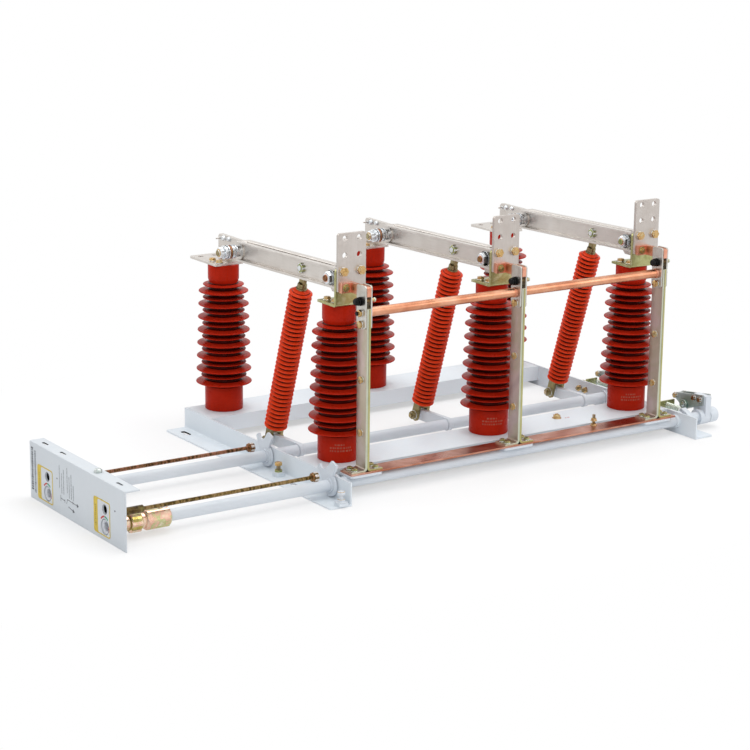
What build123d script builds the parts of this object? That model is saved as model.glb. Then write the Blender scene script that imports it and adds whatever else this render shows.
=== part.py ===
from build123d import *
from math import acos, atan2, cos, degrees, hypot, radians, sin
import os

# Three-pole indoor disconnector with an earthing switch on its front side.
# X runs along the row of poles, Y from the earthing side to the hinge side, Z up.
# Sizes below are counted from the middle pole, halfway between the insulator rows, on the mounting plane.
# The saved parts have their origin under the left foot, halfway between its two mounting slots.
# Main blades are closed and earthing blades are upright, both at zero travel.

# Overall layout
pole_count = 3
phase_pitch = 450.0
row_pitch = 540.0
frame_height = 56.0
post_height = 380.0
shaft_z = 32.0
shaft_r = 14.0
sheet = 4.0
left_of_poles = 89.0
right_of_poles = 79.0
face_x = -1129.0
main_open = 65.0
earth_open = 75.0
outer_pole = (pole_count - 1) / 2 * phase_pitch
pole_places = [pole * phase_pitch - outer_pole for pole in range(pole_count)]
row_y = row_pitch / 2
terminal_z = frame_height + post_height
frame_left = -outer_pole - left_of_poles
frame_right = outer_pole + right_of_poles
main_y = -98.0
pad_face_y = -row_y - 54.0
earth_y = pad_face_y - 59.0
frame_front = earth_y - 78.0
frame_back = row_y + 50.0

# Clearances
running_fit = 0.05
bolt_play = 0.05
bush_play = 0.2
blade_gap_play = 0.2
fork_play = 0.3
roller_play = 0.3
past = 1.0

# Feet with their mounting slots and stop shelves
foot_width = 60.0
foot_corner = 6.0
slot_length = 40.0
slot_width = 14.0
slot_inset = 27.0
slot_back = row_y - 4.0
slot_front = -slot_back
stop_places = (main_y - 80.0, earth_y - 71.0)
stop_inset = 21.0
stop_half = 11.0
stop_top = 14.0
stop_bolt_r = 5.0
stop_hole_r = 5.2
stop_bolt_top = 38.0
stop_hex = 17.0
stop_head = 7.0
stop_nut = 6.0

# Beams under the insulator rows
beam_width = 128.0
beam_lip = 40.0
beam_back_y = row_y - 15.0
beam_front_y = -row_y - 14.0
insulator_bolt_r = 8.0
insulator_hole_depth = 32.0
insulator_hex = 24.0
insulator_head = 10.0

# Post insulators
post_base_r = 49.0
post_top_r = 40.0
shed_pairs = 8
first_shed = 72.0
shed_pitch = (post_height - 108.0) / shed_pairs
big_shed_low = 72.0
big_shed_high = 63.0
small_shed_low = 59.0
small_shed_high = 52.5
small_shed_share = 0.7
shed_rim = 3.4
shed_under = 5.0
shed_over = 9.0
base_step = 1.5

# Rear terminals with their hinge plates
rear_plate_width = 80.0
rear_plate_front = 30.0
rear_plate_back = 105.0
rear_plate_thick = 6.0
rear_hole_r = 7.0
rear_hole_from_end = 24.0
hinge_thick = 10.0
hinge_back = 16.0
hinge_top = 76.0
plate_corner = 6.0
seat_bolt_x = 22.0
seat_bolt_y = 17.0
seat_bolt_r = 5.0
seat_bolt_depth = 18.0
seat_hole_more = 4.0
seat_hex = 16.0
seat_head = 7.0

# Main blades
pivot_y = row_y - 98.0
pivot_z = terminal_z + 50.0
contact_y = -row_y + 2.0
contact_z = terminal_z + 61.0
blade_height = 50.0
blade_web = 5.0
blade_flange = 15.0
blade_nose = 31.0
blade_corner = 3.0
blade_tilt = degrees(atan2(contact_z - pivot_z, pivot_y - contact_y))
blade_reach = hypot(pivot_y - contact_y, contact_z - pivot_z)
pivot_r = 8.0
contact_bolt_r = 6.0
pin_r = 6.0
rod_pin_reach = 294.0
boss_r = 23.0
boss_rise = 3.0

# Front brackets, fixed main contacts, terminal pads and earthing contacts
bracket_width = 80.0
bracket_back = 32.0
bracket_thick = 6.0
bracket_rise = 92.0
bracket_corner = 10.0
pad_width = 77.0
pad_thick = 8.0
pad_bottom = terminal_z + 38.0
pad_top = terminal_z + 175.0
pad_hole_pitch = 40.0
pad_hole_r = 7.0
pad_top_hole_z = pad_top - 12.0
pad_bolt_x = 24.0
pad_bolt_z = terminal_z + 85.0
pad_hex = 19.0
pad_head = 8.0
bolt_end_in = 0.5
bracket_face = pad_face_y + pad_thick
contact_thick = 10.0
contact_notch = 18.0
contact_foot_width = 66.0
contact_foot_thick = 8.0
contact_foot_lift = 3.0
contact_heel = 14.0
contact_slope = 12.0
contact_back_y = -row_y + 34.0
contact_top_z = terminal_z + 86.0
earth_offset = -4.0
earth_screw_r = 4.0
earth_screw_side = 18.0
tongue_front = 79.0
tongue_low = terminal_z + 36.0
tongue_high = terminal_z + 60.0
tongue_foot_left = 35.0
tongue_foot_thick = 10.0
tongue_chamfer = 2.0
earth_screw_z = (tongue_low + tongue_high) / 2

# Shafts and their bearings
bush_flange_r = 24.0
bush_flange = 8.0
bush_boss_r = 18.0
bush_boss = 12.0
main_right = frame_right + 103.0
earth_right = frame_right + 131.0

# Faceplate
face_sheet = 3.0
face_front = earth_y - 96.0
face_back = main_y + 91.5
face_height = 137.0
face_flange = 36.0
socket_hole_r = 17.0
key_hole_r = 10.0
key_hole_z = 72.0
face_slot_length = 26.0
face_slot_width = 7.0
face_slot_places = (main_y + 46.0, main_y - 46.0, earth_y - 37.0)
flange_bolt_y = earth_y + 65.0
flange_bolt_r = 4.0
flange_hole_r = 4.4
flange_bolt_depth = 12.0
flange_head = 7.0

# Couplings at the left shaft ends
hub_r = 16.0
hub_left = face_x + face_sheet
hub_socket_r = 11.0
hub_socket_depth = 46.0
key_slot_width = 6.0
key_slot_height = 5.0
collar_left = face_x + 56.0
collar_right = face_x + 82.0
coupling_hex = 42.0
neck_r = 18.0
sleeve_left = face_x + 93.0
sleeve_right = face_x + 155.0
sleeve_hex = 44.0
sleeve_round_r = 24.2
sleeve_chamfer = 4.0
tube_left = sleeve_left - 2.0
ring_flange_r = 25.0
ring_flange = 5.0
ring_r = 20.0
ring_length = 18.0

# Lock plates and lock rods
lock_plate = 6.0
lock_plate_left = frame_left - 2.5 - lock_plate
lock_weld_r = 17.5
lock_weld = 5.0
lock_plate_r = 26.5
lock_rod_dy = -37.0
lock_rod_dz = 40.0
lock_notch_r = 12.8
prong_tip_r = 61.0
prong_span = 22.0
vee_r = 40.0
rod_r = 4.5
rod_left = face_x + 5.0
rod_travel = 60.0
rod_right = frame_left - 4.0 - rod_travel
nut_flats = 20.0
nut_length = 10.0
thin_nut = 5.0
guide_r = 8.5
guide_length = 70.0

# Cranks and pull rods
crank_pin_y = main_y + 124.0
crank_pin_z = shaft_z - 1.0
crank_thick = 12.0
crank_hub_r = 16.5
crank_eye_r = 14.0
crank_eye_width = 20.0
fork_leg = 8.0
fork_depth = 24.0
fork_tip = 15.0
fork_corner = 4.0
fork_throat = 26.0
fork_top = 35.0
fork_hex = 19.0
fork_nut = 7.0
fork_head = 10.0
fork_pin_end = 12.0
rod_body_start = 35.0
rod_head_drop = 70.0
rod_core_r = 23.0
rod_shed_r = 27.0
rod_rim_low = 0.35
rod_rim_high = 0.55
rod_sheds = 32
rod_shoulder = 4.0
cap_flange_r = 15.0
cap_flange = 5.0
cap_hex = 24.0
cap_height = 14.5
eye_thick = 9.0
eye_slot_travel = 26.0
eye_slot_drop = 3.5
eye_slot_play = 3.9
eye_wall = 8.0
stem_r = 8.0

# Earthing side
support_length = 88.0
support_width = 56.0
support_thick = 5.0
support_skirt = 2.0
support_shift = -9.0
support_seat = 3.0
strip_over = 51.0
strip_width = 48.0
strip_thick = 4.0
bar_width = 40.0
bar_thick = 4.0
bar_gap = 3.4
bar_bend = 6.0
bar_foot = 38.0
bar_top = terminal_z + 9.0
foot_bolt_reach = 24.0
foot_bolt_y = 10.0
finger_width = 37.0
finger_thick = 4.0
finger_low = terminal_z - 39.0
finger_high = terminal_z + 63.0
link_tube_r = 11.0
link_tube_wall = 2.0
link_plug = 22.0
link_z = terminal_z - 3.0
knob_z = terminal_z + 25.0
finger_bolt_z = terminal_z - 30.0
low_bolts_z = (frame_height + 90.0, frame_height + 218.0)
small_bolt_r = 4.0
small_hex = 13.0
small_head = 5.5
small_end = 4.0
finger_chamfer = 4.0
support_chamfer = 5.0
strip_z = shaft_z + shaft_r + support_thick
bar_z = strip_z + strip_thick
bar_face = bar_gap / 2 + bar_thick
finger_face = bar_face + finger_thick
tongue_play = 0.2
tongue_thick = 2 * (bar_face - tongue_play)

# Right end of the shafts
lever_at_main = frame_right + 47.0
lever_at_earth = frame_right + 75.0
clamp_r = 21.0
clamp_length = 33.0
clamp_lead = 8.0
clamp_gap = 3.0
end_ring_r = 20.0
end_ring_round = 5.0
lever_thick = 5.0
lever_gap = 19.0
ear_front = 20.0
ear_back = 27.0
ear_top = 57.0
lever_heel = 12.0
lever_reach = 91.0
lever_rise = 60.0
lever_tip_z = 38.0
lever_tip_r = 8.0
lever_heel_height = 28.0
lever_bolt_z = 46.0
lever_bolts_y = (-2.0, 20.0)
roller_y = 57.0
roller_z = 21.0
roller_r = 14.0
spacer_r = 7.0
hook_x = frame_right + 23.0
hook_ring = 16.0
hook_tip_r = 6.0
hook_dy = 11.0
hook_dz = 21.0
hook_hole_r = 1.7
spring_span = 72.0
spring_coil_r = 6.5
spring_wire = 1.6
anchor_rise = 9.0
anchor_lift = 4.0
anchor_foot = 20.0
anchor_short = 10.0
anchor_hole_r = 2.2

plane_x = (1, 0, 0)
plane_y = (0, 1, 0)


def slab_x(sketch, low, high):
    """Extrude a sketch drawn as (Y, Z) from one X to another."""
    return extrude(Plane.YZ.offset(low) * sketch, amount=high - low, dir=plane_x)


def slab_y(sketch, low, high):
    """Extrude a sketch drawn as (X, Z) from one Y to another."""
    sheet_plane = Plane((0, low, 0), x_dir=(1, 0, 0), z_dir=(0, -1, 0))
    return extrude(sheet_plane * sketch, amount=high - low, dir=plane_y)


def slab_z(sketch, low, high):
    """Extrude a sketch drawn as (X, Y) from one Z to another."""
    return extrude(Plane.XY.offset(low) * sketch, amount=high - low, dir=(0, 0, 1))


def block(low, high):
    """A box between two opposite corners."""
    size = [b - a for a, b in zip(low, high)]
    return Pos(*low) * Box(*size, align=(Align.MIN, Align.MIN, Align.MIN))


def rod_x(radius, low, high, y, z):
    """A round bar along X."""
    return slab_x(Pos(y, z) * Circle(radius), low, high)


def rod_y(radius, low, high, x, z):
    """A round bar along Y."""
    return slab_y(Pos(x, z) * Circle(radius), low, high)


def rod_z(radius, low, high, x, y):
    """A round bar along Z."""
    return slab_z(Pos(x, y) * Circle(radius), low, high)


def hex_x(flats, low, high, y, z):
    """A hexagonal bar along X."""
    return slab_x(Pos(y, z) * RegularPolygon(flats / 2, 6, major_radius=False), low, high)


def hex_y(flats, low, high, x, z):
    """A hexagonal bar along Y."""
    return slab_y(Pos(x, z) * RegularPolygon(flats / 2, 6, major_radius=False), low, high)


def hex_z(flats, low, high, x, y):
    """A hexagonal bar along Z."""
    return slab_z(Pos(x, y) * RegularPolygon(flats / 2, 6, major_radius=False), low, high)


def outline(*points):
    """A closed straight-sided face through the points."""
    return make_face(Polyline(*points, close=True))


def hull_of(first, second):
    """The face around two circles given as (u, v, radius), with straight tangents between them."""
    (u, v, near), (far_u, far_v, far) = first, second
    length = hypot(far_u - u, far_v - v)
    along = atan2(far_v - v, far_u - u)
    swing = acos((near - far) / length)
    corners = []
    for turn, order in ((1, 1), (-1, -1)):
        angle = along + turn * swing
        near_end = (u + near * cos(angle), v + near * sin(angle))
        far_end = (far_u + far * cos(angle), far_v + far * sin(angle))
        corners += [near_end, far_end][::order]
    return outline(*corners) + Pos(u, v) * Circle(near) + Pos(far_u, far_v) * Circle(far)


def polar(reach, angle):
    """The point at a distance and an angle in degrees."""
    return (reach * cos(radians(angle)), reach * sin(radians(angle)))


def save(name, shape):
    """Write one sub-part with all of its separate solids."""
    solids = shape if isinstance(shape, list) else [shape]
    solids = [solid for part in solids for solid in part.solids()]
    origin = Pos(slot_inset - frame_left, -(slot_back + slot_front) / 2, 0)
    solids = [origin * solid for solid in solids]
    whole = solids[0] if len(solids) == 1 else Compound(children=solids)
    export_step(whole, f"parts/{name}.step")


# Frame

def end_frame(side):
    """An angle along Y: an upright web, and a foot that points away from the poles."""
    web_out = frame_left if side < 0 else frame_right
    web_in = web_out - side * sheet
    foot_out = web_out + side * (foot_width - sheet)
    profile = outline((web_in, 0), (foot_out, 0), (foot_out, sheet), (web_out, sheet),
                      (web_out, frame_height), (web_in, frame_height))
    body = slab_y(profile, frame_front, frame_back)
    inner_edge = body.edges().filter_by(Axis.Y).sort_by_distance((web_out, 0, sheet))[0]
    body = fillet(inner_edge, sheet)
    upright = body.edges().filter_by(Axis.Z)
    corners = [upright.sort_by_distance((foot_out, y, 0))[0] for y in (frame_front, frame_back)]
    body = fillet(corners, foot_corner)
    for y in (slot_back, slot_front):
        slot = Pos(web_out + side * slot_inset, y) * SlotOverall(slot_length, slot_width, rotation=90)
        body -= slab_z(slot, -past, sheet + past)
    for y in (main_y, earth_y):
        body -= rod_x(bush_boss_r + bush_play, web_out - 2 * sheet, web_out + 2 * sheet, y, shaft_z)
    return body


def stop_shelf(y):
    """A small folded shelf on the left foot that carries a stop bolt."""
    x = frame_left - stop_inset
    shelf = block((x - stop_half, y - stop_half, sheet), (x + stop_half, y + stop_half, stop_top))
    return shelf - rod_z(stop_hole_r, 0, stop_top + past, x, y)


def beam(center_y):
    """A folded channel, open underneath, that carries one row of insulators."""
    half = beam_width / 2
    low = frame_height - beam_lip
    inner = frame_height - sheet
    back_side = [(center_y + half - sheet, inner), (center_y + half - sheet, low),
                 (center_y + half, low), (center_y + half, frame_height)]
    front_side = [(center_y - half, frame_height), (center_y - half, low),
                  (center_y - half + sheet, low), (center_y - half + sheet, inner)]
    body = slab_x(outline(*back_side, *front_side), frame_left + sheet, frame_right - sheet)
    hole_y = row_y if center_y > 0 else -row_y
    for x in pole_places:
        body -= rod_z(insulator_bolt_r + bush_play, inner - past, frame_height + past, x, hole_y)
    return body


def post_insulator(x, y):
    """A cast resin post with large and small sheds in turn, turned from one profile."""
    count = 2 * shed_pairs
    points = [(0, 0), (post_base_r, 0)]
    for index in range(count):
        share = index / (count - 1)
        big = index % 2 == 0
        low_r, high_r = (big_shed_low, big_shed_high) if big else (small_shed_low, small_shed_high)
        rim_r = low_r + (high_r - low_r) * share
        core_r = post_base_r - base_step + (post_top_r - post_base_r) * share
        under_r = post_base_r if index == 0 else core_r
        height = first_shed + index * shed_pitch / 2
        depth = 1 if big else small_shed_share
        points += [(under_r, height - shed_under * depth),
                   (rim_r, height - shed_rim / 2),
                   (rim_r, height + shed_rim / 2),
                   (core_r, height + shed_over * depth)]
    points += [(post_top_r, height + shed_over), (post_top_r, post_height), (0, post_height)]
    body = revolve(Plane.XZ * outline(*points), Axis.Z)
    body -= rod_z(insulator_bolt_r + bolt_play, -past, insulator_hole_depth, 0, 0)
    for dx in (-seat_bolt_x, seat_bolt_x):
        for dy in (-seat_bolt_y, seat_bolt_y):
            low = post_height - seat_bolt_depth - seat_hole_more
            body -= rod_z(seat_bolt_r + bolt_play, low, post_height + past, dx, dy)
    return Pos(x, y, frame_height) * body


def faceplate():
    """A bent sheet that shows the handle sockets and the key holes, with a flange on top."""
    inside = face_x + face_sheet
    under = face_height - face_sheet
    profile = outline((face_x, 0), (inside, 0), (inside, under), (face_x + face_flange, under),
                      (face_x + face_flange, face_height), (face_x, face_height))
    body = slab_y(profile, face_front, face_back)
    bend = body.edges().filter_by(Axis.Y).sort_by_distance((face_x, 0, face_height))[0]
    body = fillet(bend, face_sheet)
    for y in (main_y, earth_y):
        body -= rod_x(socket_hole_r, face_x - past, inside + past, y, shaft_z)
        body -= rod_x(key_hole_r, face_x - past, inside + past, y, key_hole_z)
    middle = face_x + face_flange / 2
    for y in face_slot_places:
        slot = Pos(middle, y) * SlotOverall(face_slot_length, face_slot_width, rotation=90)
        body -= slab_z(slot, under - past, face_height + past)
    return body - rod_z(flange_hole_r, under - past, face_height + past, middle, flange_bolt_y)


def flanged_bush(face, boss, y):
    """A flanged bush on the right face of a web, with its boss through the web."""
    flange = rod_x(bush_flange_r, face, face + bush_flange, y, shaft_z)
    body = flange + rod_x(bush_boss_r, face - boss, face, y, shaft_z)
    return body - rod_x(shaft_r + running_fit, face - boss - past, face + bush_flange + past, y, shaft_z)


def socket_ring(y):
    """The painted ring behind the faceplate in which a coupling's hub turns."""
    left = face_x + face_sheet
    ring = rod_x(ring_flange_r, left, left + ring_flange, y, shaft_z)
    ring += rod_x(ring_r, left, left + ring_length, y, shaft_z)
    return ring - rod_x(hub_r + running_fit, left - past, left + ring_length + past, y, shaft_z)


def shaft_bearings():
    """Both bushes and the faceplate's ring of each shaft."""
    rings = []
    for y in (main_y, earth_y):
        rings.append(flanged_bush(frame_left + sheet, sheet + 1.5, y))
        rings.append(flanged_bush(frame_right, bush_boss, y))
        rings.append(socket_ring(y))
    return rings


# Current path

def rear_terminal(x):
    """A connection plate on the rear insulator with an upright hinge plate brazed to it."""
    z = terminal_z
    half = rear_plate_width / 2
    over = z + rear_plate_thick
    plate = block((x - half, row_y - rear_plate_front, z), (x + half, row_y + rear_plate_back, over))
    corners = plate.edges().filter_by(Axis.Z).group_by(Axis.Y)[-1]
    plate = fillet(corners, plate_corner)
    hole_y = row_y + rear_plate_back - rear_hole_from_end
    for dx in (-pad_hole_pitch / 2, pad_hole_pitch / 2):
        plate -= rod_z(rear_hole_r, z - past, over + past, x + dx, hole_y)
    for dx in (-seat_bolt_x, seat_bolt_x):
        for dy in (-seat_bolt_y, seat_bolt_y):
            plate -= rod_z(seat_bolt_r + bolt_play, z - past, over + past, x + dx, row_y + dy)
    back = row_y + hinge_back
    top = z + hinge_top
    nose = blade_height / 2
    side = outline((back, over), (back, top - plate_corner), (back - plate_corner, top),
                   (pivot_y, pivot_z + nose), (pivot_y, pivot_z - nose),
                   (row_y - rear_plate_front - sheet, over))
    side += Pos(pivot_y, pivot_z) * Circle(nose)
    hinge = slab_x(side, x - hinge_thick / 2, x + hinge_thick / 2)
    return plate + hinge - rod_x(pivot_r + running_fit, x - hinge_thick, x + hinge_thick, pivot_y, pivot_z)


def front_bracket(x):
    """A folded angle on the front insulator, behind the terminal pad."""
    over = terminal_z + bracket_thick
    top = terminal_z + bracket_rise
    back = bracket_face + bracket_thick
    profile = outline((bracket_back - row_y, terminal_z), (bracket_back - row_y, over), (back, over),
                      (back, top), (bracket_face, top), (bracket_face, terminal_z))
    half = bracket_width / 2
    body = slab_x(profile, x - half, x + half)
    bend = body.edges().filter_by(Axis.X).sort_by_distance((x, bracket_face, terminal_z))[0]
    body = fillet(bend, bracket_thick)
    upper = body.edges().filter_by(Axis.Y).group_by(Axis.Z)[-1]
    body = fillet(upper, bracket_corner)
    for dx in (-seat_bolt_x, seat_bolt_x):
        for dy in (-seat_bolt_y, seat_bolt_y):
            body -= rod_z(seat_bolt_r + bolt_play, terminal_z - past, over + past, x + dx, dy - row_y)
    for dx in (-pad_bolt_x, pad_bolt_x):
        body -= rod_y(seat_bolt_r + bolt_play, bracket_face - past, back + past, x + dx, pad_bolt_z)
    return body


def main_contact(x):
    """The fixed contact between the closed blades: a foot behind the bracket and an upright plate."""
    front = bracket_face + bracket_thick
    back = front + contact_foot_thick
    low = terminal_z + bracket_thick + contact_foot_lift
    foot_half = contact_foot_width / 2
    foot = block((x - foot_half, front, low), (x + foot_half, back, terminal_z + bracket_rise))
    heel = low + contact_heel
    tip = contact_back_y
    bevel = tip - contact_slope
    knife = outline((back, heel), (bevel, heel), (tip, heel + contact_slope),
                    (tip, contact_top_z - contact_slope), (bevel, contact_top_z), (back, contact_top_z))
    body = foot + slab_x(knife, x - contact_thick / 2, x + contact_thick / 2)
    mouth = 2 * (contact_top_z - contact_z + past)
    notch = Circle(contact_notch / 2) + Pos(0, mouth / 2) * Rectangle(contact_notch, mouth)
    body -= slab_x(Pos(contact_y, contact_z) * notch, x - contact_thick, x + contact_thick)
    for dx in (-pad_bolt_x, pad_bolt_x):
        body -= rod_y(seat_bolt_r + bolt_play, front - past, back + past, x + dx, pad_bolt_z)
    return body


def terminal_pad(x):
    """The upright connection pad: four free holes over the two that carry its bolts."""
    half = pad_width / 2
    front = pad_face_y - past
    back = bracket_face + past
    body = block((x - half, pad_face_y, pad_bottom), (x + half, bracket_face, pad_top))
    corners = body.edges().filter_by(Axis.Y).group_by(Axis.Z)[-1]
    body = fillet(corners, plate_corner)
    for row in range(2):
        for dx in (-pad_hole_pitch / 2, pad_hole_pitch / 2):
            body -= rod_y(pad_hole_r, front, back, x + dx, pad_top_hole_z - row * pad_hole_pitch)
    for dx in (-pad_bolt_x, pad_bolt_x):
        body -= rod_y(seat_bolt_r + bolt_play, front, back, x + dx, pad_bolt_z)
    screw_x = x + earth_offset - earth_screw_side
    return body - rod_y(earth_screw_r + bolt_play, front, back, screw_x, earth_screw_z)


def earth_contact(x):
    """An angle of copper bar: a foot on the pad and a tongue for the earthing fingers."""
    center = x + earth_offset
    right = center + tongue_thick / 2
    left = center - tongue_thick / 2
    foot_left = x - tongue_foot_left
    foot_front = pad_face_y - tongue_foot_thick
    tip = pad_face_y - tongue_front
    plan = outline((foot_left, pad_face_y), (foot_left, foot_front), (left, foot_front),
                   (left, tip), (right, tip), (right, pad_face_y))
    body = slab_z(plan, tongue_low, tongue_high)
    nose = body.edges().filter_by(Axis.X).group_by(Axis.Y)[0]
    body = chamfer(nose, tongue_chamfer)
    screw_x = center - earth_screw_side
    hole = rod_y(earth_screw_r + bolt_play, foot_front - past, pad_face_y + past, screw_x, earth_screw_z)
    return body - hole


def bolt_y(x, z, low, high, radius, flats, head):
    """A bolt along Y with its head in front, ending in a threaded hole."""
    return rod_y(radius, low - head / 2, high, x, z) + hex_y(flats, low - head, low, x, z)


def bolt_z(x, y, low, high, radius, flats, head):
    """A bolt along Z with its head on top."""
    return rod_z(radius, low, high + head / 2, x, y) + hex_z(flats, high, high + head, x, y)


def frame_bolts():
    """The bolts of the fixed parts: seats, pads, insulator feet, stops and the guides of the lock rods."""
    bolts = []
    seat_low = terminal_z - seat_bolt_depth
    pad_back = bracket_face + bracket_thick + contact_foot_thick - bolt_end_in
    screw_back = bracket_face - bolt_end_in
    foot_front = pad_face_y - tongue_foot_thick
    web_low = frame_height - sheet
    for x in pole_places:
        for dx in (-seat_bolt_x, seat_bolt_x):
            for dy in (-seat_bolt_y, seat_bolt_y):
                for y, thick in ((row_y, rear_plate_thick), (-row_y, bracket_thick)):
                    high = terminal_z + thick
                    bolts.append(bolt_z(x + dx, y + dy, seat_low, high, seat_bolt_r, seat_hex, seat_head))
        for dx in (-pad_bolt_x, pad_bolt_x):
            bolts.append(bolt_y(x + dx, pad_bolt_z, pad_face_y, pad_back, seat_bolt_r, pad_hex, pad_head))
        screw_x = x + earth_offset - earth_screw_side
        screw = bolt_y(screw_x, earth_screw_z, foot_front, screw_back, earth_screw_r, small_hex, small_head)
        bolts.append(screw)
        for y in (-row_y, row_y):
            head_low = web_low - insulator_head
            shank_high = frame_height + insulator_hole_depth - 4
            shank = rod_z(insulator_bolt_r, head_low + 1, shank_high, x, y)
            bolts.append(shank + hex_z(insulator_hex, head_low, web_low, x, y))
    x = frame_left - stop_inset
    for y in stop_places:
        stop = rod_z(stop_bolt_r, sheet, stop_bolt_top - 2, x, y)
        stop += hex_z(stop_hex, stop_bolt_top - stop_head, stop_bolt_top, x, y)
        bolts.append(stop + hex_z(stop_hex, stop_top, stop_top + stop_nut, x, y))
    left = face_x + face_sheet
    for shaft_y in (main_y, earth_y):
        y = shaft_y + lock_rod_dy
        z = shaft_z + lock_rod_dz
        guide = rod_x(guide_r, left, left + guide_length, y, z)
        bolts.append(guide - rod_x(rod_r + running_fit, left - past, left + guide_length + past, y, z))
    x = face_x + face_flange / 2
    low = face_height - face_sheet - flange_bolt_depth
    bolts.append(bolt_z(x, flange_bolt_y, low, face_height, flange_bolt_r, small_hex, flange_head))
    return bolts


# Shafts

def shaft_tube(y, right):
    """A drawn shaft from its coupling to the right end."""
    return rod_x(shaft_r, tube_left, right, y, shaft_z)


def coupling(y):
    """The socket for the handle, a hexagonal collar, a neck and the long sleeve clamped on the shaft."""
    body = rod_x(hub_r, hub_left + 0.5, collar_left, y, shaft_z)
    body += hex_x(coupling_hex, collar_left, collar_right, y, shaft_z)
    body += rod_x(neck_r, collar_right, sleeve_left, y, shaft_z)
    rounded = rod_x(sleeve_round_r, sleeve_left, sleeve_right, y, shaft_z)
    rounded = chamfer(rounded.edges().filter_by(GeomType.CIRCLE), sleeve_chamfer)
    body += hex_x(sleeve_hex, sleeve_left, sleeve_right, y, shaft_z) & rounded
    body -= rod_x(hub_socket_r, face_x, face_x + hub_socket_depth, y, shaft_z)
    key_slot = Pos(y, shaft_z + hub_socket_r) * Rectangle(key_slot_width, key_slot_height)
    body -= slab_x(key_slot, face_x, face_x + hub_socket_depth - 10)
    return body - rod_x(shaft_r + bolt_play, tube_left - 2, sleeve_right + past, y, shaft_z)


def horned_plate(y, opened):
    """A plate with two prongs: the lock rod's nut stands beside them when shut and in the vee when open."""
    shut_angle = degrees(atan2(lock_rod_dz, lock_rod_dy))
    open_angle = shut_angle - opened
    reach = hypot(lock_rod_dy, lock_rod_dz)
    prong = degrees(lock_notch_r / reach)
    first = shut_angle - prong
    last = open_angle - prong
    crown = outline((0, 0), polar(prong_tip_r, first), polar(prong_tip_r, first - prong_span),
                    polar(vee_r, (first - prong_span + last) / 2), polar(prong_tip_r, last),
                    polar(prong_tip_r, last - prong_span / 2), polar(lock_plate_r, last - 2 * prong_span))
    sketch = Circle(lock_plate_r) + crown
    for angle in (shut_angle, open_angle):
        sketch -= Pos(*polar(reach, angle)) * Circle(lock_notch_r)
    plate = slab_x(Pos(y, shaft_z) * sketch, lock_plate_left, lock_plate_left + lock_plate)
    plate += rod_x(lock_weld_r, lock_plate_left - lock_weld, lock_plate_left, y, shaft_z)
    bore_low = lock_plate_left - lock_weld - past
    return plate - rod_x(shaft_r + bolt_play, bore_low, lock_plate_left + lock_plate + past, y, shaft_z)


def crank_arm(x):
    """A flat crank welded on the main shaft, with a boss at the rod's pin."""
    half = crank_thick / 2
    wide = crank_eye_width / 2
    side = hull_of((main_y, shaft_z, crank_hub_r), (crank_pin_y, crank_pin_z, crank_eye_r))
    arm = slab_x(side, x - half, x + half)
    arm += rod_x(crank_eye_r, x - wide, x + wide, crank_pin_y, crank_pin_z)
    arm -= rod_x(shaft_r + bolt_play, x - crank_thick, x + crank_thick, main_y, shaft_z)
    return arm - rod_x(pin_r + running_fit, x - 2 * wide, x + 2 * wide, crank_pin_y, crank_pin_z)


def shaft_collar(y, lever_x, shaft_end):
    """Painted rings at the right end: the spring hook, the hub with the lever's ear, and the end ring."""
    side = hull_of((y, shaft_z, clamp_r), (y + hook_dy, shaft_z + hook_dz, hook_tip_r))
    hook = slab_x(side, hook_x, hook_x + hook_ring)
    hook -= rod_x(hook_hole_r, hook_x - past, hook_x + hook_ring + past, y + hook_dy, shaft_z + hook_dz)
    hub_start = lever_x - clamp_lead
    hub_end = hub_start + clamp_length
    hub = rod_x(clamp_r, hub_start, hub_end, y, shaft_z)
    ear_left = lever_x + lever_thick + roller_play
    ear_right = lever_x + lever_thick + lever_gap - roller_play
    top = shaft_z + ear_top
    ear = outline((y - clamp_r, shaft_z), (y - ear_front, top), (y + ear_back, top),
                  (y + ear_back, shaft_z + clamp_r), (y + clamp_r, shaft_z))
    hub += slab_x(ear, ear_left, ear_right)
    for dy in lever_bolts_y:
        bolt_height = shaft_z + lever_bolt_z
        hub -= rod_x(small_bolt_r + bolt_play, ear_left - past, ear_right + past, y + dy, bolt_height)
    ring = rod_x(end_ring_r, hub_end + clamp_gap, shaft_end, y, shaft_z)
    outer_edge = ring.edges().filter_by(GeomType.CIRCLE).group_by(Axis.X)[-1]
    ring = fillet(outer_edge, end_ring_round)
    bore = rod_x(shaft_r + bolt_play, hook_x - past, shaft_end + past, y, shaft_z)
    return [hook - bore, hub - bore, ring - bore]


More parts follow.
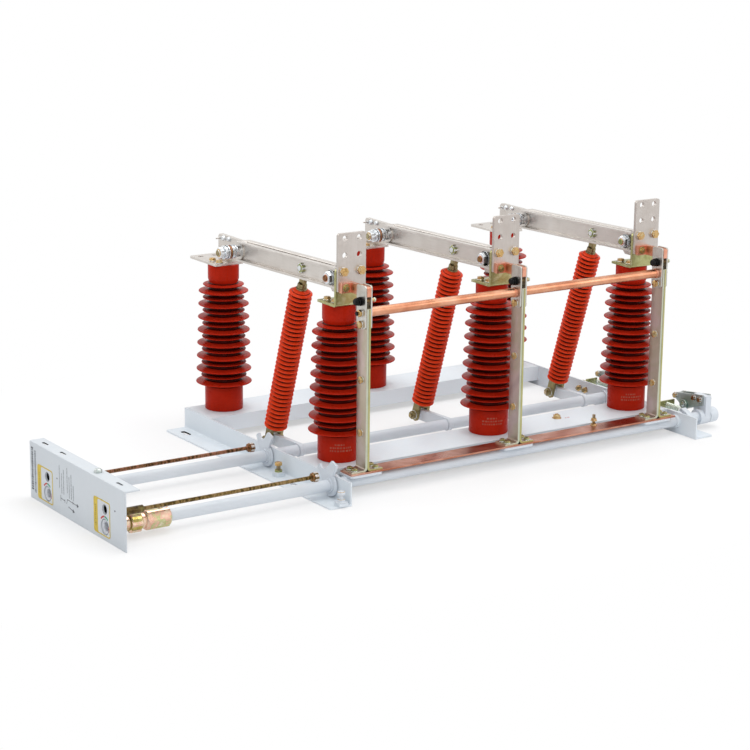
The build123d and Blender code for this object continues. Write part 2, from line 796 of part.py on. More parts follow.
def shaft_lever(y, lever_x):
    """Two lever plates with their bolts and a roller between them."""
    tip_y = y + lever_reach
    tip_z = shaft_z + lever_tip_z
    roll_y = y + roller_y
    roll_z = shaft_z + roller_z
    heel_y = y - lever_heel
    heel_z = shaft_z + lever_rise
    side = outline((heel_y, heel_z), (tip_y, tip_z + lever_tip_r), (tip_y, tip_z - lever_tip_r),
                   (roll_y + 11, roll_z - 5), (roll_y + 5, roll_z - 10), (roll_y - 6, roll_z - 9),
                   (heel_y, heel_z - lever_heel_height))
    side += Pos(tip_y, tip_z) * Circle(lever_tip_r)
    bolt_places = [(y + dy, shaft_z + lever_bolt_z) for dy in lever_bolts_y]
    pin_places = [(tip_y, tip_z), (roll_y, roll_z)]
    right = lever_x + 2 * lever_thick + lever_gap
    pieces = []
    for left in (lever_x, lever_x + lever_thick + lever_gap):
        plate = slab_x(side, left, left + lever_thick)
        for spot_y, spot_z in bolt_places + pin_places:
            plate -= rod_x(small_bolt_r + bolt_play, left - past, left + lever_thick + past, spot_y, spot_z)
        pieces.append(plate)
    for spot_y, spot_z in bolt_places + pin_places:
        pin = rod_x(small_bolt_r, lever_x - 4, right + 3, spot_y, spot_z)
        pin += hex_x(small_hex, lever_x - 6, lever_x, spot_y, spot_z)
        pieces.append(pin + hex_x(small_hex, right, right + 6, spot_y, spot_z))
    inner = (lever_x + lever_thick + roller_play, lever_x + lever_thick + lever_gap - roller_play)
    for (spot_y, spot_z), radius in zip(pin_places, (spacer_r, roller_r)):
        spacer = rod_x(radius, *inner, spot_y, spot_z)
        pieces.append(spacer - rod_x(small_bolt_r + bolt_play, *inner, spot_y, spot_z))
    return pieces


def spring_anchor(y, lever_x):
    """The bracket on the right end frame that holds the fixed end of a shaft spring."""
    anchor_y = y + hook_dy + spring_span
    low = shaft_z + anchor_lift
    high = shaft_z + hook_dz + anchor_rise
    back = anchor_y + sheet
    plate = block((frame_right, anchor_y, low), (lever_x - anchor_short, back, high))
    foot = block((frame_right, back, low), (frame_right + sheet, anchor_y + anchor_foot, frame_height))
    spring_x = hook_x + hook_ring / 2
    hole = rod_y(anchor_hole_r, anchor_y - past, back + past, spring_x, shaft_z + hook_dz)
    return plate + foot - hole


def shaft_spring(y):
    """The close-wound tension spring, held as its plain outer form, with a hook at each end."""
    x = hook_x + hook_ring / 2
    z = shaft_z + hook_dz
    low = y + hook_dy + 14
    high = y + hook_dy + spring_span - 7
    inner = spring_coil_r - 2 * spring_wire
    body = rod_y(spring_coil_r, low, high, x, z) - rod_y(inner, low - past, high + past, x, z)
    body += rod_y(spring_wire, low - 5, low + 0.5, x, z)
    body += rod_y(spring_wire, high - 0.5, high + 12, x, z)
    body += rod_y(inner + spring_wire, low, low + 2, x, z)
    return body + rod_y(inner + spring_wire, high - 2, high, x, z)


# Main blades and their bolts, drawn level and then turned to the blade's tilt

blade_inner = contact_thick / 2 + blade_gap_play
pivot_stack = ((12, 14.0), (3, 17.0), (6, 15.5), (3, 17.5), (8, 16.0), (3, 17.5), (6, 14.5), (3, 16.5))
contact_stack = ((6, 14.0), (4, 12.0), (4, 18.0))
washer_thick = 3.0
washer_room = 3.0
channel_washer_r = blade_height / 2 - blade_web - washer_room
pivot_hex = 24.0
contact_hex = 22.0
blade_nut = 12.0
blade_head = 9.0
blade_bolt_end = 4.0
pin_hex = 22.0
pin_head = 6.0
pin_end = 8.0


def on_blade(shape):
    """Put a shape drawn level about the pivot where the closed blade is."""
    return Pos(0, pivot_y, pivot_z) * Rot(-blade_tilt, 0, 0) * shape


def main_blade(x):
    """Two channels back to back, with their flanges outward and a boss pressed round the pivot."""
    channels = []
    half = blade_height / 2
    front = -(blade_reach + blade_nose)
    for side in (-1, 1):
        inner = x + side * blade_inner
        web_out = inner + side * blade_web
        tip = inner + side * blade_flange
        web_face = Pos(front / 2, 0) * Rectangle(-front, blade_height) + Circle(half)
        web = slab_x(web_face, *sorted((inner, web_out)))
        web += rod_x(boss_r, *sorted((inner, web_out + side * boss_rise)), 0, 0)
        for low, high in ((half - blade_web, half), (-half, blade_web - half)):
            web += block((min(inner, tip), front, low), (max(inner, tip), 0, high))
        web = fillet(web.edges().filter_by(Axis.Y).group_by(Axis.X)[0 if side > 0 else -1], blade_corner)
        for y, radius in ((0, pivot_r), (-rod_pin_reach, pin_r), (-blade_reach, contact_bolt_r)):
            web -= rod_x(radius + bolt_play, x - 30, x + 30, y, 0)
        channels.append(on_blade(web))
    return channels


def stack_x(sections, start, side, y, bore):
    """A turned stack along X from (length, radius) sections, with a bore."""
    place = start
    body = None
    for length, radius in sections:
        piece = rod_x(radius, *sorted((place, place + side * length)), y, 0)
        body = piece if body is None else body + piece
        place += side * length
    return body - rod_x(bore, *sorted((start - side, place + side)), y, 0), place


def blade_bolts(x):
    """The pivot bolt with its spring stack, the contact bolt with its washers and the pull rod's pin."""
    pieces = []
    outer = blade_inner + blade_web
    for reach, face, radius, stack, flats in (
            (0, outer + boss_rise, pivot_r, pivot_stack, pivot_hex),
            (-blade_reach, outer, contact_bolt_r, contact_stack, contact_hex)):
        body, end = stack_x(stack, x - face, -1, reach, radius + bolt_play)
        washer = ((washer_thick, channel_washer_r),)
        washer, far = stack_x(washer, x + face, 1, reach, radius + bolt_play)
        bolt = rod_x(radius, end - blade_nut - blade_bolt_end, far + blade_head / 2 + 0.5, reach, 0)
        bolt += hex_x(flats, far, far + blade_head, reach, 0)
        bolt += hex_x(flats, end - blade_nut, end, reach, 0)
        pieces += [on_blade(body), on_blade(washer), on_blade(bolt)]
    pin = rod_x(pin_r, x - outer - pin_end, x + outer + pin_end / 2, -rod_pin_reach, 0)
    pin += hex_x(pin_hex, x - outer - pin_head, x - outer, -rod_pin_reach, 0)
    pin += hex_x(pin_hex, x + outer, x + outer + pin_head, -rod_pin_reach, 0)
    return pieces + [on_blade(pin)]


# Pull rods, drawn upright over the crank pin and then leaned

blade_pin = on_blade(Pos(0, -rod_pin_reach, 0)).position
rod_length = hypot(blade_pin.Y - crank_pin_y, blade_pin.Z - crank_pin_z)
rod_lean = degrees(atan2(crank_pin_y - blade_pin.Y, blade_pin.Z - crank_pin_z))
rod_top = rod_length - rod_head_drop
rod_body_length = rod_top - rod_shoulder - rod_body_start


def on_rod(shape):
    """Put a shape drawn upright about the crank pin where the pull rod is."""
    return Pos(0, crank_pin_y, crank_pin_z) * Rot(rod_lean, 0, 0) * shape


def pull_rod(x):
    """A cast resin rod with many small sheds, turned from one profile."""
    pitch = rod_body_length / rod_sheds
    points = [(0, rod_body_start), (rod_core_r, rod_body_start)]
    for index in range(rod_sheds):
        base = rod_body_start + index * pitch
        points += [(rod_shed_r, base + rod_rim_low * pitch), (rod_shed_r, base + rod_rim_high * pitch),
                   (rod_core_r, base + pitch)]
    points += [(cap_flange_r, rod_top), (0, rod_top)]
    return on_rod(Pos(x, 0, 0) * revolve(Plane.XZ * outline(*points), Axis.Z))


def rod_ends(x):
    """The fork on the crank with its pin, and the cap with the slotted eye at the blade."""
    leg_in = crank_eye_width / 2 + fork_play
    leg_out = leg_in + fork_leg
    half = fork_depth / 2
    side = outline((-half, fork_top), (-half, fork_corner - fork_tip), (fork_corner - half, -fork_tip),
                   (half - fork_corner, -fork_tip), (half, fork_corner - fork_tip), (half, fork_top))
    fork = slab_x(side, x - leg_out, x + leg_out)
    fork -= block((x - leg_in, -fork_depth, -2 * fork_tip), (x + leg_in, fork_depth, fork_throat))
    fork -= rod_x(pin_r + bolt_play, x - 30, x + 30, 0, 0)
    pin = rod_x(pin_r, x - leg_out - fork_pin_end, x + leg_out + small_end, 0, 0)
    pin += hex_x(fork_hex, x - leg_out - fork_head, x - leg_out, 0, 0)
    pin += hex_x(fork_hex, x + leg_out, x + leg_out + fork_nut, 0, 0)
    cap = rod_z(cap_flange_r, rod_top, rod_top + cap_flange, x, 0)
    cap += hex_z(cap_hex, rod_top + cap_flange, rod_top + cap_height, x, 0)
    slot_r = pin_r + eye_slot_play
    low = rod_length - eye_slot_drop
    shape = hull_of((0, low, slot_r + eye_wall), (-eye_slot_travel, low, slot_r + eye_wall))
    shape += hull_of((0, low - 8, stem_r + 4), (0, rod_top + cap_height - 2, stem_r))
    shape -= hull_of((0, low, slot_r), (-eye_slot_travel, low, slot_r))
    eye = slab_x(shape, x - eye_thick / 2, x + eye_thick / 2)
    return [on_rod(fork), on_rod(pin), on_rod(cap + eye)]


# Earthing side

def support_plate(x):
    """A plate welded on the earthing shaft under the strip, with a slot for its bolts."""
    center = x + support_shift
    left = center - support_length / 2
    right = center + support_length / 2
    depth = support_width / 2
    under = strip_z - support_thick
    body = block((left, earth_y - depth, under - support_skirt), (right, earth_y + depth, strip_z))
    body = chamfer(body.edges().filter_by(Axis.Z), support_chamfer)
    hollow = block((left - past, earth_y - depth - past, under - support_skirt - past),
                   (right + past, earth_y + depth + past, under))
    body -= hollow - rod_x(shaft_r + support_seat, left - past, right + past, earth_y, shaft_z)
    return body - rod_x(shaft_r + bolt_play, left - past, right + past, earth_y, shaft_z)


def earth_blade(x):
    """Two upright flat bars, back to back, with their feet bent outward on the strip."""
    bars = []
    center = x + earth_offset
    over = bar_z + bar_thick
    for side in (-1, 1):
        inner = center + side * bar_gap / 2
        outer = center + side * bar_face
        tip = outer + side * bar_foot
        profile = outline((inner, bar_top), (inner, bar_z), (tip, bar_z),
                          (tip, over), (outer, over), (outer, bar_top))
        bar = slab_y(profile, earth_y - bar_width / 2, earth_y + bar_width / 2)
        bend = bar.edges().filter_by(Axis.Y).sort_by_distance((outer, earth_y, over))[0]
        bar = fillet(bend, bar_bend)
        heel = bar.edges().filter_by(Axis.Y).sort_by_distance((inner, earth_y, bar_z))[0]
        bar = fillet(heel, bar_bend + bar_thick - past)
        for z in low_bolts_z + (finger_bolt_z, link_z):
            bar -= rod_x(small_bolt_r + bolt_play, center - 20, center + 20, earth_y, z)
        for dy in (-foot_bolt_y, foot_bolt_y):
            foot_x = outer + side * foot_bolt_reach
            bar -= rod_z(small_bolt_r + bolt_play, bar_z - past, over + past, foot_x, earth_y + dy)
        bars.append(bar)
    return bars


def contact_fingers():
    """The plated fingers on both faces of every earthing blade."""
    fingers = []
    for x in pole_places:
        center = x + earth_offset
        for side in (-1, 1):
            left, right = sorted((center + side * bar_face, center + side * finger_face))
            front = earth_y - finger_width / 2
            plate = block((left, front, finger_low), (right, front + finger_width, finger_high))
            plate = chamfer(plate.edges().filter_by(Axis.X), finger_chamfer)
            for z in (finger_bolt_z, link_z, knob_z):
                plate -= rod_x(small_bolt_r + bolt_play, left - past, right + past, earth_y, z)
            fingers.append(plate)
    return fingers


def link_tubes():
    """The copper tubes that join the earthing blades of neighbouring poles near their tops."""
    tubes = []
    for left_pole, right_pole in zip(pole_places, pole_places[1:]):
        low = left_pole + earth_offset + finger_face
        high = right_pole + earth_offset - finger_face
        tube = rod_x(link_tube_r, low, high, earth_y, link_z)
        tube -= rod_x(link_tube_r - link_tube_wall, low + link_plug, high - link_plug, earth_y, link_z)
        tube -= rod_x(small_bolt_r + bolt_play, low - past, high + past, earth_y, link_z)
        tubes.append(tube)
    return tubes


def finger_knobs():
    """The stepped black caps over the springs that press the fingers together."""
    knobs = []
    for x in pole_places:
        face = x + earth_offset - finger_face
        profile = outline((0, 0), (10.5, 0), (10.5, 5), (9, 7), (9, 15), (8, 17), (6, 17), (5, 24), (0, 24))
        knob = revolve(Plane.XZ * profile, Axis.Z)
        knob -= rod_z(small_bolt_r + bolt_play, -past, 12, 0, 0)
        knobs.append(Pos(face, earth_y, knob_z) * Rot(0, -90, 0) * knob)
    return knobs


def earth_blade_bolts():
    """The bolts that hold the bars together, the fingers, the tubes and the feet."""
    bolts = []
    shim = bar_gap / 2 - bolt_play / 2
    for index, x in enumerate(pole_places):
        center = x + earth_offset
        for z, face in [(z, bar_face) for z in low_bolts_z] + [(finger_bolt_z, finger_face)]:
            bolt = rod_x(small_bolt_r, center - face - small_end, center + face + small_end, earth_y, z)
            bolt += hex_x(small_hex, center - face - small_head, center - face, earth_y, z)
            bolt += hex_x(small_hex, center + face, center + face + small_head, earth_y, z)
            bolts.append(bolt + rod_x(2 * small_bolt_r, center - shim, center + shim, earth_y, z))
        first = index == 0
        last = index == len(pole_places) - 1
        low = center - finger_face - (9 if first else 14)
        high = center + finger_face + (9 if last else 14)
        tie = rod_x(small_bolt_r, low, high, earth_y, link_z)
        if first:
            tie += hex_x(small_hex, center - finger_face - 7, center - finger_face, earth_y, link_z)
        if last:
            tie += hex_x(small_hex, center + finger_face, center + finger_face + 7, earth_y, link_z)
        bolts.append(tie)
        press = rod_x(small_bolt_r, center - finger_face - 11, center + finger_face + 6, earth_y, knob_z)
        press += rod_x(6, center - tongue_thick / 2, center + tongue_thick / 2, earth_y, knob_z)
        face = center + finger_face
        bolts.append(press + hex_x(small_hex, face, face + small_head, earth_y, knob_z))
        for side in (-1, 1):
            foot_x = center + side * (bar_face + foot_bolt_reach)
            for dy in (-foot_bolt_y, foot_bolt_y):
                low = strip_z + bolt_end_in
                high = bar_z + bar_thick
                bolts.append(bolt_z(foot_x, earth_y + dy, low, high, small_bolt_r, small_hex, small_head))
    return bolts


def bus_strip():
    """The copper strip along the earthing shaft that joins the three poles."""
    front = earth_y - strip_width / 2
    end = outer_pole + strip_over
    body = block((-end, front, strip_z), (end, front + strip_width, bar_z))
    for x in pole_places:
        for side in (-1, 1):
            foot_x = x + earth_offset + side * (bar_face + foot_bolt_reach)
            for dy in (-foot_bolt_y, foot_bolt_y):
                body -= rod_z(small_bolt_r + bolt_play, strip_z - past, bar_z + past, foot_x, earth_y + dy)
    return body


# Lock rods

def lock_rod(shaft_y):
    """A threaded rod behind the faceplate, with a thin nut and a nut as its locking head."""
    y = shaft_y + lock_rod_dy
    z = shaft_z + lock_rod_dz
    nut_right = rod_right - 2
    nut_left = nut_right - nut_length
    thin_left = nut_left - thin_nut
    rod = rod_x(rod_r, rod_left, rod_right, y, z)
    nut = hex_x(nut_flats, nut_left, nut_right, y, z)
    thin = hex_x(nut_flats - 2, thin_left, nut_left, y, z)
    bore = rod_x(rod_r + bolt_play, thin_left - past, rod_right + past, y, z)
    return [rod, nut - bore, thin - bore]


os.makedirs("parts", exist_ok=True)

left_end = end_frame(-1)
for stop_y in stop_places:
    left_end += stop_shelf(stop_y)
anchors = [spring_anchor(main_y, lever_at_main), spring_anchor(earth_y, lever_at_earth)]
save("end_frame_left", left_end)
save("end_frame_right", end_frame(1))
save("beam_back", beam(beam_back_y))
save("beam_front", beam(beam_front_y))
save("faceplate", faceplate())
save("shaft_bearings", shaft_bearings())
save("frame_bolts", frame_bolts())
save("main_contacts", [main_contact(x) for x in pole_places])
save("plated_brackets", [front_bracket(x) for x in pole_places] + anchors)
save("earth_contacts", [earth_contact(x) for x in pole_places])
for number, pole_x in enumerate(pole_places, 1):
    save(f"post_insulator_back_{number}", post_insulator(pole_x, row_y))
    save(f"post_insulator_front_{number}", post_insulator(pole_x, -row_y))
    save(f"rear_terminal_{number}", rear_terminal(pole_x))
    save(f"terminal_pad_{number}", terminal_pad(pole_x))
    save(f"crank_arm_{number}", crank_arm(pole_x))
    save(f"main_blade_{number}", main_blade(pole_x))
    save(f"blade_bolts_{number}", blade_bolts(pole_x))
    save(f"pull_rod_{number}", pull_rod(pole_x))
    save(f"rod_ends_{number}", rod_ends(pole_x))
    save(f"earth_blade_{number}", earth_blade(pole_x))
for name, shaft_place, right, opened, lever_place in (
        ("main", main_y, main_right, main_open, lever_at_main),
        ("earth", earth_y, earth_right, earth_open, lever_at_earth)):
    save(f"{name}_shaft_tube", shaft_tube(shaft_place, right))
    save(f"{name}_coupling", coupling(shaft_place))
    save(f"{name}_lock_plate", horned_plate(shaft_place, opened))
    save(f"{name}_shaft_collar", shaft_collar(shaft_place, lever_place, right))
    save(f"{name}_shaft_lever", shaft_lever(shaft_place, lever_place))
    save(f"{name}_shaft_spring", shaft_spring(shaft_place))
    save(f"{name}_lock_rod", lock_rod(shaft_place))
save("support_plates", [support_plate(x) for x in pole_places])
save("earth_bus_strip", bus_strip())
save("contact_fingers", contact_fingers())
save("link_tubes", link_tubes())
save("finger_knobs", finger_knobs())
save("earth_blade_bolts", earth_blade_bolts())
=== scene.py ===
import math
import random

import bmesh
import bpy
from mathutils import Matrix, Vector


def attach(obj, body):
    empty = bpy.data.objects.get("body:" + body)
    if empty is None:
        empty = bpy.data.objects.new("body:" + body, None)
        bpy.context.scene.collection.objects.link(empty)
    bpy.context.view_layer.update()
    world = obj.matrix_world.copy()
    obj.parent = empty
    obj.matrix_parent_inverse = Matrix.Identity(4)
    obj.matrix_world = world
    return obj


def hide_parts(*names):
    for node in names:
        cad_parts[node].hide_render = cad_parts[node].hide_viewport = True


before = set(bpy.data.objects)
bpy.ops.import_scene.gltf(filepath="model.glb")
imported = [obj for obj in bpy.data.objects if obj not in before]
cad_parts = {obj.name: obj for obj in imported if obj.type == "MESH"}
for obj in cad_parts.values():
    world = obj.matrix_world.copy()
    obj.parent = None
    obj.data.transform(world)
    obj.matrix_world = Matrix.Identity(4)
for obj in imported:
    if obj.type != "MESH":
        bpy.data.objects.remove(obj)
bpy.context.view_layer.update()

random.seed(11)

# Pieces are in millimetres, counted from the middle pole on the mounting plane. All else is in metres.
# The frame's origin is between the left foot's slots, this far to the left of the middle pole.
LEFT_SHIFT = 566
POLES = (-450, 0, 450)
POST_Y = 270
MAIN_Y = -98
EARTH_Y = -383
SHAFT_Z = 32
BEAM_TOP = 56
POST_TOP = 436

RIGHT, BACK, UP = Vector((1, 0, 0)), Vector((0, 1, 0)), Vector((0, 0, 1))
LEFT = -RIGHT


def new_object(name, data):
    thing = bpy.data.objects.new(name, data)
    bpy.context.scene.collection.objects.link(thing)
    return thing


def at_poles(*jobs):
    """Call each job with the number and the place of every pole."""
    for number, pole in enumerate(POLES, 1):
        for job in jobs:
            job(number, pole)


# Camera: its angles, distance and lens were fitted to the photograph

def add_camera():
    azimuth, elevation, roll = -34.219, 14.293, 0.7155
    distance, focal_pixels, image_pixels = 5.5031, 2154.32, 750
    aim = Vector((LEFT_SHIFT - 161.65, 0, 162.48)) / 1000
    lens = bpy.data.cameras.new("camera")
    lens.sensor_width = 36
    lens.lens = focal_pixels / image_pixels * lens.sensor_width
    lens.clip_end = 60
    camera = new_object("camera", lens)
    turn = Matrix.Translation(aim)
    for angle, axis in ((azimuth, "Z"), (90 - elevation, "X"), (roll, "Z")):
        turn = turn @ Matrix.Rotation(math.radians(angle), 4, axis)
    camera.matrix_world = turn @ Matrix.Translation(UP * distance)
    bpy.context.scene.camera = camera


add_camera()


# Materials, whose colours are hundredths of red, green and blue

def rgba(color):
    return (*(part / 100 for part in color), 1)


def add_node(tree, kind, inputs, **settings):
    """A node with its settings, and with its inputs linked or filled in."""
    node = tree.nodes.new("ShaderNode" + kind)
    for name, value in settings.items():
        setattr(node, name, value)
    for name, value in inputs.items():
        socket = node.inputs[name]
        if isinstance(value, bpy.types.NodeSocket):
            tree.links.new(value, socket)
        elif socket.type == "RGBA":
            socket.default_value = rgba(value)
        else:
            socket.default_value = value
    return node


def add_ramp(tree, value, *stops):
    """A colour ramp over the value, with its stops as (place, colour)."""
    node = add_node(tree, "ValToRGB", {"Fac": value})
    elements = node.color_ramp.elements
    while len(elements) < len(stops):
        elements.new(0.5)
    for element, (place, color) in zip(elements, stops):
        element.position = place
        element.color = rgba(color)
    return node.outputs["Color"]


class Shader:
    """A node material built step by step around one principled surface."""

    def __init__(self, name, values):
        self.material = bpy.data.materials.new(name)
        self.material.use_nodes = True
        self.tree = self.material.node_tree
        self.surface = self.tree.nodes["Principled BSDF"]
        for socket, value in values.items():
            self.surface.inputs[socket].default_value = value
        self.coords = self.node("TexCoord", {}, "Object")

    def node(self, kind, inputs, output=0, **settings):
        return add_node(self.tree, kind, inputs, **settings).outputs[output]

    def noise(self, scale, detail=4, rough=0.55, stretch=None, twist=0):
        place = self.node("Mapping", {"Vector": self.coords, "Scale": stretch}) if stretch else self.coords
        return self.node("TexNoise", {"Vector": place, "Scale": scale, "Detail": detail, "Roughness": rough,
                                      "Distortion": twist})

    def spread(self, value, low, high, start=0.3, stop=0.7):
        """The value's stretch from start to stop, spread out from low to high."""
        return self.node("MapRange", {"Value": value, "From Min": start, "From Max": stop, "To Min": low,
                                      "To Max": high})

    def mix(self, factor, first, second):
        return self.node("Mix", {0: factor, 6: first, 7: second}, 2, data_type="RGBA")

    def math(self, operation, first, second):
        return self.node("Math", {0: first, 1: second}, operation=operation)

    def rounded(self, radius):
        return self.node("Bevel", {"Radius": radius}, samples=4)

    def edges(self, radius):
        """Bright where the surface turns a corner within the radius."""
        flat = self.node("NewGeometry", {}, "Normal")
        same = self.node("VectorMath", {0: self.rounded(radius), 1: flat}, "Value", operation="DOT_PRODUCT")
        return self.spread(self.math("SUBTRACT", 1, same), 0, 1, 0.02, 0.25)

    def facing_up(self, low=0.2):
        up = self.node("SeparateXYZ", {"Vector": self.node("NewGeometry", {}, "Normal")}, "Z")
        return self.spread(up, 0, 1, low, 0.95)

    def color(self, value):
        self.tree.links.new(value, self.surface.inputs["Base Color"])

    def rough(self, value):
        self.tree.links.new(value, self.surface.inputs["Roughness"])

    def bump(self, height, strength, distance, radius):
        """Bumps on the surface, whose corners are rounded by the radius."""
        inputs = {"Height": height, "Strength": strength, "Distance": distance}
        if radius:
            inputs["Normal"] = self.rounded(radius)
        self.tree.links.new(self.node("Bump", inputs), self.surface.inputs["Normal"])


def painted(name, base, shade):
    """Powder coat with fine orange peel, faint tones, dust on top and small rubs along the edges."""
    s = Shader(name, {"Coat Weight": 0.08, "Coat Roughness": 0.3, "Specular IOR Level": 0.35})
    tone = s.mix(s.spread(s.noise(5, 3), 0, 1, 0.35, 0.68), base, shade)
    speck = s.spread(s.noise(420, 2, 0.5), 0, 0.1, 0.55, 0.75)
    tone = s.mix(speck, tone, (42, 43, 44))
    dust = s.math("MULTIPLY", s.facing_up(), s.spread(s.noise(38, 5), 0, 0.12, 0.45, 0.75))
    tone = s.mix(dust, tone, (74, 72, 68))
    rub = s.math("MULTIPLY", s.edges(0.0012), s.spread(s.noise(60, 4), 0, 0.7, 0.5, 0.68))
    s.color(s.mix(rub, tone, (55, 56, 56)))
    s.rough(s.spread(s.noise(90, 3), 0.36, 0.52))
    s.bump(s.noise(950, 2, 0.45), 0.16, 0.0004, 0.0009)
    return s.material


def resin(name, base, deep, gloss=0.24, specular=0.06):
    """Cast resin: deep, glossy and slightly mottled, with faint dust and flow marks."""
    s = Shader(name, {"Specular IOR Level": specular})
    tone = s.mix(s.spread(s.noise(14, 4), 0, 1, 0.35, 0.7), base, deep)
    flow = s.spread(s.noise(60, 5, 0.6, stretch=(1, 1, 4), twist=0.4), 0, 0.22, 0.5, 0.72)
    tone = s.mix(flow, tone, tuple(min(100, c * 1.3 + 0.4) for c in base))
    dust = s.math("MULTIPLY", s.facing_up(0.5), s.spread(s.noise(70, 5), 0, 0.02, 0.45, 0.7))
    s.color(s.mix(dust, tone, (50, 30, 26)))
    s.rough(s.spread(s.noise(45, 4), gloss, gloss + 0.12))
    s.bump(s.noise(240, 3), 0.06, 0.0006, 0)
    return s.material


def brushed(name, tones, grain, gloss, scale, edge, streaks=0.12, strength=0.18):
    """Drawn or brushed metal with streaks one way, a cloudy tone and bright edges, partly worn metal and
    partly painted highlight.
    """
    s = Shader(name, {"Metallic": 1})
    cloud = s.noise(scale, 4, 0.6, twist=0.6)
    step = 1 / (len(tones) - 1)
    tone = add_ramp(s.tree, cloud, *((0.32 + 0.36 * index * step, tone) for index, tone in enumerate(tones)))
    streak = s.noise(900, 3, 0.6, stretch=grain)
    tone = s.mix(s.spread(streak, 0, streaks, 0.4, 0.7), tone, tuple(c * 0.62 for c in tones[0]))
    smear = s.spread(s.noise(scale * 3.1, 5, 0.65), 0, 0.25, 0.52, 0.75)
    tone = s.mix(smear, tone, tuple(min(100, c * 1.15 + 3) for c in tones[-1]))
    # The edges turn towards the brighter edge colour: partly wear, partly painted highlight.
    s.color(s.mix(s.math("MULTIPLY", s.edges(0.0009), 0.55), tone, edge))
    clouded = s.spread(s.noise(scale * 2, 4), gloss - 0.06, gloss + 0.1)
    s.rough(s.math("ADD", s.spread(streak, 0, 0.14), clouded))
    s.bump(streak, strength, 0.0003, 0.0007)
    return s.material


def threaded(name, tones, gloss, pitch):
    """A rolled thread along X, with painted shade in its roots and dashes of tone that stand for glints on
    its crests as painted highlight.
    """
    s = Shader(name, {"Metallic": 1})
    wave = s.node("TexWave", {"Vector": s.coords, "Scale": 2 * math.pi / (20 * pitch)}, "Fac",
                  wave_type="BANDS", bands_direction="X", wave_profile="TRI")
    # Dashes of brighter and darker tone along the rod, over a random cloud: painted highlight of the thread's
    # glints.
    dashes = s.noise(210, 2, 0.5, stretch=(1, 0.4, 0.4), twist=0.3)
    cloud = s.math("ADD", s.math("MULTIPLY", s.noise(12, 3, twist=0.8), 0.3), s.math("MULTIPLY", dashes, 0.7))
    tone = add_ramp(s.tree, cloud, (0.4, tones[0]), (0.48, tones[1]), (0.58, tones[2]))
    # The roots turn towards brown-black: painted shade.
    s.color(s.mix(s.spread(wave, 0.75, 0, 0.1, 0.7), tone, (3, 1.8, 0.8)))
    s.rough(s.spread(s.noise(80, 3), gloss, gloss + 0.15))
    s.bump(wave, 0.9, 0.0009, 0)
    return s.material


def plain(name, base, rough, specular=0.3, other=None):
    """Moulded plastic, ink or enamel, with a fine grain and small tone changes."""
    s = Shader(name, {"Specular IOR Level": specular})
    other = other or tuple(c * 0.8 for c in base)
    s.color(s.mix(s.spread(s.noise(110, 4), 0, 1, 0.35, 0.65), base, other))
    s.rough(s.spread(s.noise(160, 3), rough - 0.05, rough + 0.1))
    s.bump(s.noise(700, 2), 0.12, 0.0002, 0.0005)
    return s.material


PAINT = painted("frame_paint", (72.5, 78, 82.5), (69, 74.5, 79.5))
FACE_PAINT = painted("faceplate_paint", (60.5, 64.5, 68), (57.5, 61.5, 65.5))
GREY = painted("shaft_paint", (66.5, 71, 75.5), (61.5, 66, 71.5))
RED = resin("red_resin", (43, 1.7, 0.4), (35, 1.2, 0.3))
# The darker resins colour the cores between the sheds and ribs and the inner undersides: painted shade.
RED_PAINTED_SHADE = resin("red_resin_painted_shade", (7.5, 0.3, 0.1), (4.5, 0.2, 0.1))
ORANGE = resin("orange_resin", (80, 5.8, 1.3), (68, 4.2, 0.9), 0.2, 0.1)
ORANGE_PAINTED_SHADE = resin("orange_resin_painted_shade", (5.5, 0.4, 0.2), (3.5, 0.2, 0.1))

# The grain of a metal has a small number along the direction of its streaks
EVEN, UPRIGHT, SIDEWAYS = (1, 1, 1), (1, 1, 0.02), (0.05, 1, 1)
PLATED = brushed("plated_copper_bar", ((60, 56, 52), (64, 60, 56), (67, 63.5, 60)),
                 (0.4, 0.02, 1), 0.32, 9, (78, 75, 71), strength=0.1)
PAD = brushed("plated_copper_pad", ((52, 47, 43.5), (56, 51.5, 48), (60, 55.5, 52.5)),
              (1, 1, 0.03), 0.36, 14, (78, 74, 70), strength=0.1)
TINNED = brushed("passivated_bar", ((49, 39, 37), (57, 46, 43), (49, 43, 33), (56, 49, 43)),
                 UPRIGHT, 0.3, 7, (56, 57, 38), strength=0.08)
PALE_EDGE = brushed("pale_green_edge", ((50, 54, 42), (58, 61, 50), (54, 57, 42)),
                    UPRIGHT, 0.3, 12, (70, 72, 60), strength=0.08)
GOLD_EDGE = brushed("gold_green_edge", ((42, 40, 16), (50, 47, 22), (46, 46, 22)),
                    UPRIGHT, 0.3, 12, (62, 60, 36), strength=0.08)
FINGER = brushed("plated_finger", ((50, 49, 44), (60, 58, 54), (64, 64, 60)),
                 (1, 1, 0.03), 0.27, 30, (80, 80, 74), 0.2, 0.12)
COPPER = brushed("bare_copper", ((56, 22, 12), (67, 31, 18), (76, 42, 28)),
                 (0.015, 1, 1), 0.24, 12, (90, 66, 52), 0.22, 0.12)
STRIP = brushed("copper_strip", ((36, 12, 6.5), (46, 18, 11), (70, 40, 31)),
                (0.015, 1, 1), 0.26, 7, (84, 56, 42), 0.25, 0.12)
COPPER_CUT = brushed("cut_copper", ((68, 28, 17), (78, 37, 25), (84, 47, 36)),
                     (1, 0.05, 1), 0.3, 30, (92, 70, 60), 0.2)
ZINC = brushed("yellow_zinc", ((30, 31, 12), (46, 45, 22), (38, 36, 16), (58, 59, 38)),
               EVEN, 0.28, 26, (70, 68, 42), 0.15)
GOLD = brushed("yellow_zinc_bolts", ((46, 27, 9), (66, 44, 18), (56, 36, 17), (60, 56, 32)),
               EVEN, 0.22, 70, (86, 70, 44))
